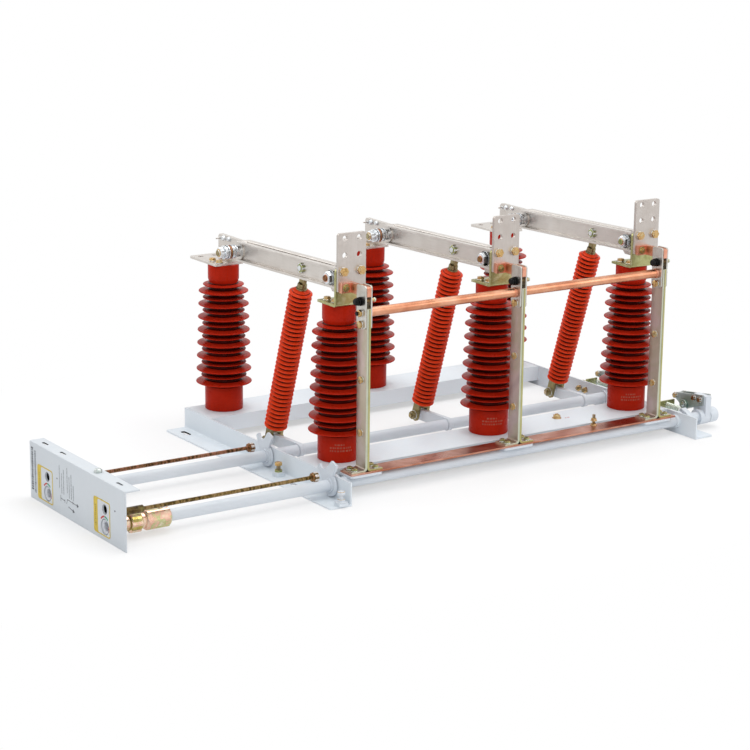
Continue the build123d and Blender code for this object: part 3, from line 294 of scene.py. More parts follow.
BROWN = brushed("olive_brown_zinc", ((18, 14, 6), (32, 26, 12), (26, 20, 10), (42, 39, 22)),
                EVEN, 0.26, 40, (66, 60, 40), 0.15)
OLIVE = brushed("green_zinc", ((20, 26, 10), (34, 37, 16), (44, 36, 17)), EVEN, 0.28, 120, (62, 64, 42), 0.2)
BRONZED = brushed("bronzed_spring_washer", ((10, 4, 2), (24, 10, 4), (34, 20, 7)),
                  EVEN, 0.22, 50, (52, 32, 16))
BRIGHT = brushed("bright_zinc", ((52, 55, 58), (66, 68, 70), (76, 78, 79)),
                 EVEN, 0.16, 40, (90, 91, 92), 0.08, 0.08)
# Dark steel for the gaps between washers and the walls of slots: painted shade.
SHADE = brushed("painted_shade_steel", ((10, 11, 12), (18, 19, 20), (26, 27, 28)), EVEN, 0.2, 60, (50, 52, 54), 0.1)
DARK = brushed("dark_zinc", ((36, 40, 38), (44, 47, 45), (53, 57, 55)),
               (0.1, 1, 1), 0.3, 18, (62, 64, 60), 0.1)
TEAL = brushed("roller_steel", ((30, 38, 36), (55, 60, 58), (68, 70, 70)),
               (0.1, 1, 1), 0.22, 70, (80, 82, 80), 0.32)
BRASS = brushed("pale_gold_zinc", ((40, 30, 10), (82, 68, 50), (80, 46, 36), (52, 56, 26), (88, 76, 64)),
                SIDEWAYS, 0.2, 19, (88, 80, 62))
COLLAR = brushed("green_gold_zinc", ((16, 11, 2), (42, 33, 8), (62, 57, 26)),
                 SIDEWAYS, 0.24, 40, (84, 78, 50), 0.2)
SPRING = brushed("spring_steel", ((60, 66, 55), (76, 82, 72), (84, 88, 80)),
                 EVEN, 0.26, 150, (85, 83, 80), 0.16)
# Near-black zinc for the shell over a lock rod's guide.
NEAR_BLACK_ZINC = brushed("guide_zinc", ((5, 3, 1.5), (12, 8, 3), (20, 17, 6)), SIDEWAYS, 0.26, 60, (50, 44, 22), 0.3)
THREAD = threaded("rolled_thread", ((11, 5, 2), (30, 15, 6), (56, 25, 15)), 0.28, 0.00175)
GOLD_THREAD = threaded("gold_thread", ((11, 7, 2), (30, 20, 6), (54, 36, 16)), 0.28, 0.00175)
SCREW = threaded("bolt_thread", ((34, 25, 10), (45, 36, 17), (48, 38, 26)), 0.3, 0.00125)

BLACK = plain("black_plastic", (0.4, 0.4, 0.5), 0.18, 0.14)
GREEN = plain("green_enamel", (2, 20, 12), 0.3)
RED_MARK = plain("red_mark", (55, 2, 2), 0.4)
YELLOW = plain("label_yellow", (68, 50, 5), 0.45)
LABEL = plain("label_white", (64, 67, 70), 0.5, other=(60, 63, 66))
LINER = plain("grey_liner", (62, 64.5, 68), 0.4, other=(54, 56, 60))
INK = plain("label_ink", (10, 10.5, 12), 0.6)
FADED = plain("faded_ink", (22, 23.5, 26), 0.6)
BAND_INK = plain("band_ink", (34, 24, 5), 0.6)
LABEL_RED = plain("label_red", (55, 5, 3.5), 0.5)
LABEL_GREEN = plain("label_green", (4, 36, 20), 0.5)
STAIN = plain("faint_print", (40, 8.5, 5), 0.5, other=(34, 5, 3))
# Near-black with hardly any gloss for the insides of key holes and slots: painted shadow.
PAINTED_SHADOW = plain("shadowed_inside", (0.6, 0.6, 0.5), 0.8, 0.05)


# Mesh pieces

class Piece:
    """Collects shapes and makes one object of them."""

    def __init__(self, name, material):
        self.name = name
        self.materials = [material]
        self.mesh = bmesh.new()
        self.slot = 0

    def use(self, material):
        if material not in self.materials:
            self.materials.append(material)
        self.slot = self.materials.index(material)

    def row(self, points):
        return [self.mesh.verts.new(point) for point in points]

    def face(self, corners):
        self.mesh.faces.new(corners).material_index = self.slot

    def skin(self, low, high):
        """Faces between two rows of points that run round; a row of one point makes a tip."""
        count = max(len(low), len(high))
        for index in range(count):
            after = (index + 1) % count
            corners = dict.fromkeys((low[index % len(low)], low[after % len(low)], high[after % len(high)],
                                     high[index % len(high)]))
            if len(corners) > 2:
                self.face(list(corners))

    def lathe(self, origin, axis, profile, sides=32, closed=False, shade_band=None):
        """Turn a profile of (height, radius); a darker material may be given with the steps where it shows,
        as painted shade in the hollows.
        """
        place = Matrix.Translation(Vector(origin)) @ UP.rotation_difference(axis).to_matrix().to_4x4()
        rings = []
        for height, radius in profile:
            angles = [2 * math.pi * index / sides for index in range(sides if radius else 1)]
            rings.append(self.row(place @ Vector((radius * math.cos(a), radius * math.sin(a), height))
                                  for a in angles))
        pairs = list(zip(rings, rings[1:]))
        if closed:
            pairs.append((rings[-1], rings[0]))
        plain_material = self.materials[self.slot]
        for step, (low, high) in enumerate(pairs):
            self.use(shade_band[0] if shade_band and step in shade_band[1] else plain_material)
            self.skin(low, high)
        self.use(plain_material)

    def hexagon(self, origin, axis, flats, length, chamfer=0.8):
        radius = flats / math.sqrt(3)
        self.lathe(origin, axis, ((0, 0), (0, radius), (length - chamfer, radius),
                                  (length, radius - chamfer * 1.6), (length, 0)), 6)

    def ring(self, origin, axis, inner, outer, thick, sides=28):
        edge = min(0.35, thick / 4)
        self.lathe(origin, axis, ((0, inner), (0, outer - edge), (edge, outer), (thick - edge, outer),
                                  (thick, outer - edge), (thick, inner)), sides, closed=True)

    def bar(self, origin, axis, radius, length, sides=20, edge=0.5):
        self.lathe(origin, axis, ((0, 0), (0, radius - edge), (edge, radius), (length - edge, radius),
                                  (length, radius - edge), (length, 0)), sides)

    def stack(self, origin, axis, *layers):
        """Pieces on one axis: how far along it each starts, its material, its form and its sizes."""
        for along, material, form, *sizes in layers:
            self.use(material)
            form(self, Vector(origin) + axis * along, axis, *sizes)

    def sweep(self, path, radius, sides=8):
        """A round wire along a list of points."""
        points = [Vector(point) for point in path]
        turns = [2 * math.pi * step / sides for step in range(sides)]
        rings = []
        side = (points[1] - points[0]).orthogonal().normalized()
        for index, point in enumerate(points):
            before = points[max(index - 1, 0)]
            after = points[min(index + 1, len(points) - 1)]
            along = (after - before).normalized()
            side = (side - along * side.dot(along)).normalized()
            other = along.cross(side)
            rings.append(self.row(point + radius * (math.cos(turn) * side + math.sin(turn) * other)
                                  for turn in turns))
        for low, high in zip(rings, rings[1:]):
            self.skin(low, high)
        self.face(rings[0][::-1])
        self.face(rings[-1])

    def plate(self, loops, low, high, upright=True):
        """A plate across X, or across Z if not upright; a loop inside another is cut out of it."""
        curve = bpy.data.curves.new("flat", "CURVE")
        curve.dimensions = "2D"
        curve.fill_mode = "BOTH"
        curve.extrude = (high - low) / 2
        for loop in loops:
            spline = curve.splines.new("POLY")
            spline.points.add(len(loop) - 1)
            for point, (u, v) in zip(spline.points, loop):
                point.co = (u, v, 0, 1)
            spline.use_cyclic_u = True
        holder = new_object("flat", curve)
        bpy.context.view_layer.update()
        flat = bpy.data.meshes.new_from_object(holder.evaluated_get(bpy.context.evaluated_depsgraph_get()))
        bpy.data.objects.remove(holder)
        bpy.data.curves.remove(curve)
        if upright:
            flat.transform(Matrix(((0, 0, 1, 0), (1, 0, 0, 0), (0, 1, 0, 0), (0, 0, 0, 1))))
        flat.transform(Matrix.Translation((RIGHT if upright else UP) * (low + high) / 2))
        had = set(self.mesh.faces)
        self.mesh.from_mesh(flat)
        for face in self.mesh.faces:
            if face not in had:
                face.material_index = self.slot
        bpy.data.meshes.remove(flat)

    def bead(self, center, radius):
        """A small round blob of a weld."""
        made = bmesh.ops.create_icosphere(self.mesh, subdivisions=1, radius=radius)["verts"]
        bmesh.ops.translate(self.mesh, vec=center, verts=made)

    def make(self, body, smooth=38):
        """Finish the object in metres and let it ride on a body."""
        bmesh.ops.recalc_face_normals(self.mesh, faces=self.mesh.faces)
        shift = Matrix.Scale(0.001, 4) @ Matrix.Translation(RIGHT * LEFT_SHIFT)
        bmesh.ops.transform(self.mesh, matrix=shift, verts=self.mesh.verts)
        data = bpy.data.meshes.new(self.name)
        self.mesh.to_mesh(data)
        self.mesh.free()
        for material in self.materials:
            data.materials.append(material)
        data.shade_smooth()
        data.set_sharp_from_angle(angle=math.radians(smooth))
        thing = new_object(self.name, data)
        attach(thing, body)
        return thing


RING, NUT, BAR, TURNED = Piece.ring, Piece.hexagon, Piece.bar, Piece.lathe


def arc(u, v, radius, degrees):
    turns = [math.radians(angle) for angle in degrees]
    return [(u + radius * math.cos(turn), v + radius * math.sin(turn)) for turn in turns]


def circle(u, v, radius):
    return arc(u, v, radius, range(0, 360, 9))


def frame_loop(left, low, right, high, corner, count=6):
    """A rectangle with round corners."""
    points = []
    for u, v, start in ((right - corner, high - corner, 0), (left + corner, high - corner, 90),
                        (left + corner, low + corner, 180), (right - corner, low + corner, 270)):
        points += arc(u, v, corner, [start + 90 * step / count for step in range(count + 1)])
    return points


# Materials of the parts that keep their own shape

def dress(material, *names):
    for name in names:
        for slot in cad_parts[name].material_slots:
            slot.material = material


def each(name):
    return [f"{name}_{number}" for number in (1, 2, 3)]


dress(PAINT, "end_frame_left", "end_frame_right", "beam_back", "beam_front", "shaft_bearings")
dress(FACE_PAINT, "faceplate")
dress(GREY, "main_shaft_tube", "earth_shaft_tube", "main_lock_plate", "earth_lock_plate", "support_plates",
      "main_shaft_collar", "earth_shaft_collar", *each("crank_arm"))
dress(PLATED, *each("main_blade"), *each("rear_terminal"))
dress(PAD, *each("terminal_pad"), "main_contacts")
dress(ZINC, "plated_brackets")
dress(GOLD, "frame_bolts", "earth_blade_bolts")
dress(BROWN, *each("rod_ends"))
dress(BRIGHT, *each("blade_bolts"))
dress(COPPER, "link_tubes")
dress(STRIP, "earth_bus_strip")
dress(COPPER_CUT, "earth_contacts")
dress(FINGER, "contact_fingers")
dress(BLACK, "finger_knobs")
dress(THREAD, "main_lock_rod")
dress(GOLD_THREAD, "earth_lock_rod")
dress(DARK, "main_shaft_lever", "earth_shaft_lever")
dress(BRASS, "main_coupling", "earth_coupling")


# Post insulators

FOOT_R = 49
SHEDS = 16
SHED_PITCH = 17
LOWEST_SHED = 72
CAMERA_SIDE = -90 - 34


def shed_profile(height, rim_r, core_r, under, over, rim):
    """One shed: a flat underside with a drip edge, a rounded rim and a sloping top."""
    turns = [math.radians(-95 + 190 * step / 8) for step in range(9)]
    low, high, half = height - under, height + over, rim / 2
    return [(low, core_r), (low + 0.9, core_r + 1.35), (low + 1.3, core_r + 3.6),
            (height - rim * 0.62, rim_r - 4),
            *((height + half * math.sin(turn), rim_r - half + half * math.cos(turn)) for turn in turns),
            (height + rim * 0.75, rim_r - 5.5), (high - 2.6, core_r + 3.3), (high - 1, core_r + 0.9),
            (high, core_r)]


def insulator(name, x, y, node):
    """A post with big and small sheds in turn, which narrow towards the top."""
    profile = [(0, 0), (0, 47.8), (0.6, 48.7), (1.4, FOOT_R), (60, FOOT_R), (62.5, 48.6)]
    shaded_steps = set()
    for index in range(SHEDS):
        share = index / (SHEDS - 1)
        low_r, high_r, size, rim = (59, 52.5, 0.75, 3.2) if index % 2 else (71.9, 63, 1, 3.6)
        start = len(profile)
        profile += shed_profile(LOWEST_SHED + SHED_PITCH * index, low_r + (high_r - low_r) * share,
                                45.5 - 9 * share, 5.2 * size, 7.4 * size, rim)
        shaded_steps.update(start + step for step in (-1, 0, 1, 2, 14, 15))
    profile += [(341, 39.3), (343, 39.9), (378.2, 40), (379.3, 39.6), (380, 38.6), (380, 0)]
    piece = Piece(name, RED)
    # The core between the sheds and the inner undersides take the darker resin: painted shade.
    piece.lathe((x, y, BEAM_TOP), UP, profile, 96, shade_band=(RED_PAINTED_SHADE, shaded_steps))
    thing = piece.make("frame", 50)
    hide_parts(node)


def base_marks(number, x):
    """Plain faint dashes on the foot of a front insulator, where the real one carries its print."""
    piece = Piece(f"insulator_marks_{number}", STAIN)
    rise = UP * 2.1
    for row, (angle, last) in enumerate(((-8, 22), (-22, 40), (-22, 40))):
        while angle < last:
            wide = random.uniform(3, 7)
            middle = math.radians(angle + wide / 2 + CAMERA_SIDE)
            out = Vector((math.cos(middle), math.sin(middle), 0))
            side = Vector((-out.y, out.x, 0)) * FOOT_R * math.radians(wide) / 2
            place = Vector((x, -POST_Y, 100.5 - row * 7.5)) + out * (FOOT_R + 0.15)
            corners = (place - side - rise, place + side - rise, place + side + rise, place - side + rise)
            piece.face(piece.row(corners))
            angle += wide + random.uniform(1.6, 3.2)
    piece.make("frame")


for number, pole in enumerate(POLES, 1):
    insulator(f"insulator_back_{number}", pole, POST_Y, f"post_insulator_back_{number}")
    insulator(f"insulator_front_{number}", pole, -POST_Y, f"post_insulator_front_{number}")
at_poles(base_marks)


# Pull rods lean from the crank pin to the blade pin

PIN_Y, PIN_Z = 26, 31
LEAN = math.radians(17.76)
ROD_UP = Vector((0, -math.sin(LEAN), math.cos(LEAN)))
ROD_ACROSS = Vector((0, math.cos(LEAN), math.sin(LEAN)))
RIBS = 33
RIB_PITCH = 11.75
RIB = ((0.1, 21.6), (0.2, 22.2), (0.29, 26.4), (0.36, 28.4), (0.46, 29.2), (0.57, 28.8), (0.68, 26.6),
       (0.8, 22.4), (0.94, 21.6))


def rod_point(x, along, across=0):
    return Vector((x, PIN_Y, PIN_Z)) + ROD_UP * along + ROD_ACROSS * across


def pull_rod(number, x):
    """A rod of resin with equal ribs, each made of the points in RIB."""
    start = 35
    end = start + RIBS * RIB_PITCH
    profile = [(start, 0), (start, 21.8), (start + 1.1, 22.8)]
    shaded_steps = set()
    for index in range(RIBS):
        place = len(profile)
        profile += [(start + (index + share) * RIB_PITCH, radius) for share, radius in RIB]
        shaded_steps.update((place - 1, place, place + 1, place + 7))
    profile += [(end + 0.6, 21), (end + 2.6, 17), (end + 3.8, 14.6), (end + 4, 0)]
    piece = Piece(f"ribbed_rod_{number}", ORANGE)
    # The core between the ribs and the flanks next to it take the darker resin: painted shade.
    piece.lathe((x, PIN_Y, PIN_Z), ROD_UP, profile, 56, shade_band=(ORANGE_PAINTED_SHADE, shaded_steps))
    thing = piece.make(f"rod_{number}", 60)
    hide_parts(f"pull_rod_{number}")


at_poles(pull_rod)


# Holding springs at the right end

def holding_spring(kind, y):
    """A coil along Y with a hook at its front end and a straight end at the back."""
    x, z = 560, SHAFT_Z + 21
    front, back = y + 25, y + 76
    turns, steps, radius, wire = 8, 20, 6.4, 1.6
    path = [(x, front - 13, z - 4.2), (x, front - 15, z - 1.5), (x, front - 13.5, z + 2.6),
            (x, front - 9, z + 3.4), (x, front - 4, z + 1.8)]
    for step in range(turns * steps + 1):
        angle = 2 * math.pi * step / steps + math.pi / 2
        path.append((x + radius * math.cos(angle), front + (back - front) * step / (turns * steps),
                     z + radius * math.sin(angle)))
    path += [(x, back + 2, z + 3), (x, back + 6.5, z + 1.2), (x, back + 11.5, z), (x, back + 12, z - 0.2)]
    piece = Piece(f"{kind}_spring_coil", SPRING)
    piece.sweep(path, wire)
    thing = piece.make("frame", 70)
    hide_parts(f"{kind}_shaft_spring")


holding_spring("main", MAIN_Y)
holding_spring("earth", EARTH_Y)


# Small fasteners of the poles

SEAT_TOP = POST_TOP + 6
PAD_FACE_Y = -325.8
PAD_BOLT_Z = 521


def washers_and_bolts(number, x):
    """Washers and ends of the bolts on the posts and the front pad, and of the contact's screw."""
    piece = Piece(f"seat_washers_{number}", BRIGHT)
    for dx in (-22, 22):
        for row in (POST_Y, -POST_Y):
            for dy in (-17, 17):
                piece.stack((x + dx, row + dy, SEAT_TOP), UP, (0, BRIGHT, RING, 5.2, 10.4, 1.4),
                            (1.4, GOLD, RING, 5.2, 9.6, 1.6), (6.6, GOLD, BAR, 5.8, 1.2, 20, 0.4))
    for dx in (-24, 24):
        piece.stack((x + dx, PAD_FACE_Y, PAD_BOLT_Z), BACK, (0, BRIGHT, RING, 5.2, 10.8, 1.8),
                    (-1.8, GOLD, RING, 5.2, 9.9, 1.8), (-7.3, GOLD, BAR, 6.4, 1, 20, 0.4))
    piece.stack((x - 22, -335.6, 484), BACK, (0, OLIVE, RING, 4.2, 9.4, 1.6),
                (-5.2, OLIVE, BAR, 4.6, 1.4, 18, 0.5))
    piece.make("frame")


def hinge_details(number, x):
    """Two small bolts near the top of a hinge plate and the pin at its rear edge."""
    half = 5
    piece = Piece(f"hinge_bolts_{number}", BRIGHT)
    for y, z, size in ((257, 503.5, 1), (231, 505, 0.85)):
        head = ((0, 0), (0, 6.4 * size), (2.6, 6.4 * size), (4.2, 5.2 * size), (4.8, 3.4 * size), (4.8, 0))
        for axis in (LEFT, RIGHT):
            piece.stack((x, y, z), axis, (half, BRIGHT, RING, 3.2, 7.8 * size, 1.4),
                        (half + 1.4, BRIGHT, TURNED, head, 24))
    piece.stack((x, 275.5, 501), LEFT, (half, PAD, BAR, 1.7, 13, 14, 0.4),
                (half, BRIGHT, RING, 2.3, 4.4, 1.6, 18))
    piece.make("frame")


at_poles(washers_and_bolts, hinge_details)


# Main blades: the stacks at the pivot and the contact, and the nuts of the rod's pin

PIVOT_Y, PIVOT_Z = 172, 486
CONTACT_Y, CONTACT_Z = -268, 497
BLADE_REACH = math.hypot(PIVOT_Y - CONTACT_Y, CONTACT_Z - PIVOT_Z)
BLADE_FACE = 10.2
ROD_PIN_REACH = 294
# The thin rings of dark steel between the washers stand for the shade in the gaps: painted shade.
PIVOT_RINGS = ((3, 17.2, BRIGHT), (1.1, 15.7, SHADE), (3.8, 16.5, BRIGHT), (1.1, 15.7, SHADE),
               (3, 17.8, BRIGHT), (0.9, 16.2, SHADE), (2.3, 17.1, BRONZED), (0.5, 16.2, SHADE),
               (1.4, 17, STRIP), (0.5, 16.2, SHADE), (1.6, 17.1, BRONZED), (0.8, 16.2, SHADE),
               (3, 17.9, BRIGHT), (1.2, 14.8, SHADE), (3.6, 15.6, BRIGHT), (1.2, 14.8, SHADE),
               (3.4, 17.3, BRIGHT))
CONTACT_RINGS = ((2.4, 14.6, BRIGHT), (0.8, 14.2, SHADE), (2.8, 14.8, OLIVE), (0.8, 12.4, SHADE),
                 (2.4, 13.2, BRONZED), (0.8, 12.4, SHADE), (4, 18.3, BRIGHT))


def blade_point(x, reach):
    """A point on the line from the pivot to the contact."""
    share = reach / BLADE_REACH
    return Vector((x, PIVOT_Y + (CONTACT_Y - PIVOT_Y) * share, PIVOT_Z + (CONTACT_Z - PIVOT_Z) * share))


def lay_rings(piece, origin, start, bore, rings):
    """Lay rings of (thickness, radius, material) side by side to the left. Returns where they end."""
    for thick, outer, material in rings:
        piece.stack(origin, LEFT, (start, material, RING, bore, outer, thick, 40))
        start += thick
    return start


def blade_details(number, x):
    pivot, contact = blade_point(x, 0), blade_point(x, BLADE_REACH)
    piece = Piece(f"pivot_rings_{number}", BRIGHT)
    sleeve = ((0, 8.2), (0, 13.6), (0.8, 14.3), (11, 14.3), (12, 13.6), (12, 8.2))
    piece.stack(pivot, LEFT, (BLADE_FACE + 3, BRIGHT, TURNED, sleeve, 36, True))
    end = lay_rings(piece, pivot, BLADE_FACE + 15, 8.2, PIVOT_RINGS)
    piece.stack(pivot, LEFT, (end, BRIGHT, NUT, 24.4, 12.6, 1.6),
                (end + 12.3, GOLD, TURNED, ((0, 8), (0, 10.6), (0.5, 10.6), (0.9, 8)), 30, True),
                (end + 12, BROWN, BAR, 7.9, 4.8, 24, 1))
    piece.stack(pivot, RIGHT, (BLADE_FACE + 6, BRIGHT, NUT, 24, 9.4, 1.4))
    end = lay_rings(piece, contact, BLADE_FACE, 6.2, CONTACT_RINGS)
    piece.stack(contact, LEFT, (end, BRIGHT, NUT, 27.4, 12.4, 1.5),
                (end + 12.1, COPPER_CUT, TURNED, ((0, 6.2), (0, 9.4), (0.5, 9.2), (0.9, 6.2)), 30, True),
                (end + 11.8, OLIVE if number == 3 else BRONZED, BAR, 7.6, 4.8, 20, 0.8))
    for axis in (LEFT, RIGHT):
        piece.stack(blade_point(x, ROD_PIN_REACH), axis, (BLADE_FACE, OLIVE, NUT, 22.4, 6.3, 1.2),
                    (BLADE_FACE + 6.1, BRIGHT, BAR, 6.6, 2.4, 20, 0.8))
    piece.make(f"blade_{number}")


def rod_details(number, x):
    """Washers, thread end and split pin of the fork's pin, and the ribbed bushing over the cap."""
    piece = Piece(f"rod_rings_{number}", BRIGHT)
    pin = rod_point(x, 0)
    for axis in (LEFT, RIGHT):
        piece.stack(pin, axis, (18.3, BRIGHT, RING, 6.2, 12, 1.6))
    bushing = ((0, 7), (0, 13.2), (0.6, 13.7), (3.6, 13.7), (4.2, 12.6), (4.2, 10.6), (5.4, 10.6), (5.9, 12),
               (8.4, 12), (8.9, 10.6), (10.2, 10.6), (10.7, 11.8), (13.4, 11.8), (14, 10.8), (15.6, 10.8),
               (16.2, 10), (16.2, 7))
    piece.stack(pin, ROD_UP, (426.2, BROWN, TURNED, bushing, 40, True))
    piece.stack(pin, LEFT, (30, SCREW, BAR, 5.6, 3, 20, 0.8))
    piece.use(BRIGHT)
    piece.sweep([rod_point(x - 29.4, 7.5), rod_point(x - 29.4, -8), rod_point(x - 29.8, -9.5, 2)], 0.8)
    piece.make(f"rod_{number}")


def crank_details(number, x):
    """The weld bead that joins the crank to the shaft on both faces."""
    piece = Piece(f"crank_weld_{number}", GREY)
    beads, bead_r, seam_r, half = 44, 1.5, 14.6, 6.6
    for axis in (LEFT, RIGHT):
        for step in range(beads):
            angle = 2 * math.pi * step / beads
            y, z = MAIN_Y + seam_r * math.cos(angle), SHAFT_Z + seam_r * math.sin(angle)
            piece.bead((x + axis.x * half, y, z), bead_r + 0.25 * random.random())
    piece.make("main_shaft", 80)


at_poles(blade_details, rod_details, crank_details)


# Earthing blades, which stand a little to the left of the poles

EARTH_LEFT = 4
FINGER_BOLT_Z = 406
TUBE_Z = 433
KNOB_Z = 461


def earth_bar(piece, center, side):
    """One bar of an earthing blade, with a rounded foot and its narrow edges in their own colour."""
    inner, outer, tip = 0.15, 5.7, 43.7
    half, under, over, top = 20, 55, 59, 445
    bend, heel, soft = 6, 9, 0.7
    path = [(outer, top), (outer, over + bend), *arc(outer + bend, over + bend, -bend, range(15, 90, 15)),
            (outer + bend, over), (tip, over), (tip, under), (inner + heel, under),
            *arc(inner + heel, under + heel, -heel, range(75, 0, -15)), (inner, under + heel), (inner, top)]
    rows = []
    for y, shrink in ((-half, soft), (-half + soft, 0), (half - soft, 0), (half, soft)):
        points = []
        for u, z in path:
            away = 1 if u > (inner + outer) / 2 else -1
            across = u - away * shrink if z > over + bend else u
            height = z - shrink if z >= top else z
            points.append((center + side * across, EARTH_Y + y, height))
        rows.append(piece.row(points))
    piece.use(TINNED)
    for low, high in zip(rows, rows[1:]):
        piece.skin(low, high)
    piece.use(PALE_EDGE if side < 0 else GOLD_EDGE)
    piece.face(rows[0])
    piece.face(rows[-1])


def earth_bars(number, x):
    blade = Piece(f"earth_bars_{number}", TINNED)
    for side in (-1, 1):
        earth_bar(blade, x - EARTH_LEFT, side)
    thing = blade.make("earth_shaft", 35)
    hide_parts(f"earth_blade_{number}")


def earth_washers(number, x):
    """Washers, nuts and thread ends of one earthing blade and of its two feet."""
    center = x - EARTH_LEFT
    piece = Piece(f"earth_washers_{number}", BRIGHT)
    for z, face in ((146, 5.7), (274, 5.7), (FINGER_BOLT_Z, 9.7)):
        nut = [(face + 1.3, GOLD, NUT, 15.8, 5.2, 1)] if z < FINGER_BOLT_Z else []
        for axis in (LEFT, RIGHT):
            piece.stack((center, EARTH_Y, z), axis, (face, BRIGHT, RING, 4.1, 9.8, 1.3), *nut,
                        (face + 5.4, SCREW, BAR, 3.9, 1.6, 16))
    for foot in (center - 29.7, center + 29.7):
        for dy in (-10, 10):
            piece.stack((foot, EARTH_Y + dy, 59), UP, (0, BRIGHT, RING, 4.1, 8.8, 1.3),
                        (1.3, OLIVE, NUT, 13.4, 4.4, 1), (5.3, SCREW, BAR, 3.9, 2.2, 16))
    piece.stack((center, EARTH_Y, FINGER_BOLT_Z), LEFT, (11, GOLD, NUT, 16.4, 6, 1))
    piece.stack((center, EARTH_Y, TUBE_Z), LEFT, (11, GOLD, NUT, 15.6, 6.2, 1))
    dome = ((0, 0), (0, 5), (2.6, 5.4), (4.6, 4.6), (5.8, 2.6), (6.1, 0))
    piece.stack((center, EARTH_Y, KNOB_Z), RIGHT, (9.7, GOLD, RING, 4.1, 8.8, 1.5),
                (14.8, GOLD, BAR, 3.9, 12, 18, 0.4), (25, PALE_EDGE, TURNED, dome, 22))
    piece.make("earth_shaft")


def tube_details():
    """The screws and ferrules at the ends of the link tubes, and the caps of the pressing springs."""
    screws = Piece("tube_end_screws", BRIGHT)
    for x, axis in ((POLES[0] - 13.7, LEFT), (POLES[2] + 5.7, RIGHT)):
        screws.stack((x, EARTH_Y, TUBE_Z), axis, (0, BRIGHT, RING, 4.1, 9.6, 1.6),
                     (8.4, BLACK, BAR, 5, 5.4, 18, 1.2))
    screws.make("earth_shaft")
    knobs = Piece("ribbed_knobs", BLACK)
    profile = ((0, 0), (0, 10.2), (0.5, 10.6), (4, 10.6), (4.5, 8.3), (6, 8.3), (6.5, 9.8), (9.4, 9.8),
               (9.9, 7.8), (11.2, 7.8), (11.7, 8.8), (15.2, 8.6), (16, 7.2), (18, 6.8), (18.8, 5.8),
               (18.8, 0))
    for x in POLES:
        knobs.lathe((x - 13.75, EARTH_Y, KNOB_Z), LEFT, profile, 40)
    thing = knobs.make("earth_shaft", 30)
    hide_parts("finger_knobs")
    ferrules = Piece("link_tube_ferrules", COPPER_CUT)
    for x, axis in ((POLES[0], RIGHT), (POLES[1], LEFT), (POLES[1], RIGHT), (POLES[2], LEFT)):
        ferrules.stack((x - EARTH_LEFT, EARTH_Y, TUBE_Z), axis, (9.9, COPPER_CUT, RING, 10.9, 12.3, 7, 36))
    ferrules.make("earth_shaft")


at_poles(earth_bars)
at_poles(earth_washers)
tube_details()


# Bolts of the copper strip, the beams and the end frames, painted shade lining the slots, and weld seams

FLANGE_X = -1111
FLANGE_TOP = 137


def strip_details():
    piece = Piece("strip_bolt", GOLD)
    piece.stack((262, -366, 55), UP, (0, GOLD, NUT, 13, 5), (0, GOLD, RING, 4.2, 9, 1.4),
                (1, SCREW, BAR, 3.9, 27, 18), (13, GOLD, NUT, 13, 5.5), (11.7, GOLD, RING, 4.2, 8.6, 1.3))
    piece.make("earth_shaft")


def line_slot(piece, material, x, y, half_width, half_length, low, high):
    """A thin ring of another colour inside a slot with round ends, which darkens the slot's wall as painted
    shade.
    """
    loops = []
    for gap in (0.02, 0.5):
        wide, long = half_width - gap, half_length - gap
        loops.append(frame_loop(x - wide, y - long, x + wide, y + long, wide - 0.01))
    piece.use(material)
    piece.plate(loops, low, high, upright=False)


def beam_details():
    piece = Piece("beam_bolts", GOLD)
    dome = ((0, 0), (0, 9.2), (3, 9.2), (6.4, 8.5), (8.2, 6.4), (9.1, 3.2), (9.3, 0))
    piece.stack((FLANGE_X, -318, FLANGE_TOP), UP, (0, TEAL, TURNED, dome))
    piece.stack((222, -267, BEAM_TOP), UP, (0, GOLD, RING, 5.2, 12, 1.6), (1.6, GOLD, NUT, 17, 7),
                (8.2, GOLD, BAR, 4.9, 3, 18))
    piece.use(RED_MARK)
    dashes = [frame_loop(240, -279, 245, -276.5, 0.8, 2), frame_loop(248, -279, 255, -276, 0.8, 2)]
    piece.plate(dashes, BEAM_TOP, BEAM_TOP + 0.3, upright=False)
    # All the slot linings are painted shade: near-black, dark steel, and a paler grey at the front foot
    # slots.
    for x in (-566, 556):
        for y, material in ((266, PAINTED_SHADOW), (-266, LINER)):
            line_slot(piece, material, x, y, 7, 20, 0.1, 3.9)
    for y, material in ((-52, PAINTED_SHADOW), (-144, SHADE), (-420, SHADE)):
        line_slot(piece, material, FLANGE_X, y, 3.5, 13, FLANGE_TOP - 2.9, FLANGE_TOP - 0.1)
    for y in (9, -17):
        piece.stack((525, y, 33), LEFT, (0, BRIGHT, RING, 5.2, 10, 1.4), (1.4, GOLD, NUT, 15, 6),
                    (7, SCREW, BAR, 4.8, 5, 16))
    piece.make("frame")


def stop_details():
    """Heads, nuts and paint rims of the stop bolts; the front bolt is painted over."""
    piece = Piece("stop_bolt_caps", GOLD)
    rim = ((0, 0), (0, 15), (0.4, 14.2), (1, 11.6), (1.4, 11), (1.4, 0))
    painted_over = (GREY, GREY, GREY)
    for y, (head, nut, thread) in ((-178, (GOLD, OLIVE, SCREW)), (-454, painted_over)):
        piece.stack((-560, y, 13.2), UP, (17.8, head, NUT, 17.4, 7.3, 1.2),
                    (24.4, head, BAR, 5.2, 1.2, 18, 0.4), (0.8, nut, NUT, 17.6, 6.2, 1),
                    (6.8, thread, BAR, 5.15, 11.2, 18, 0.3), (0, GREY, TURNED, rim, 28))
    piece.make("frame")


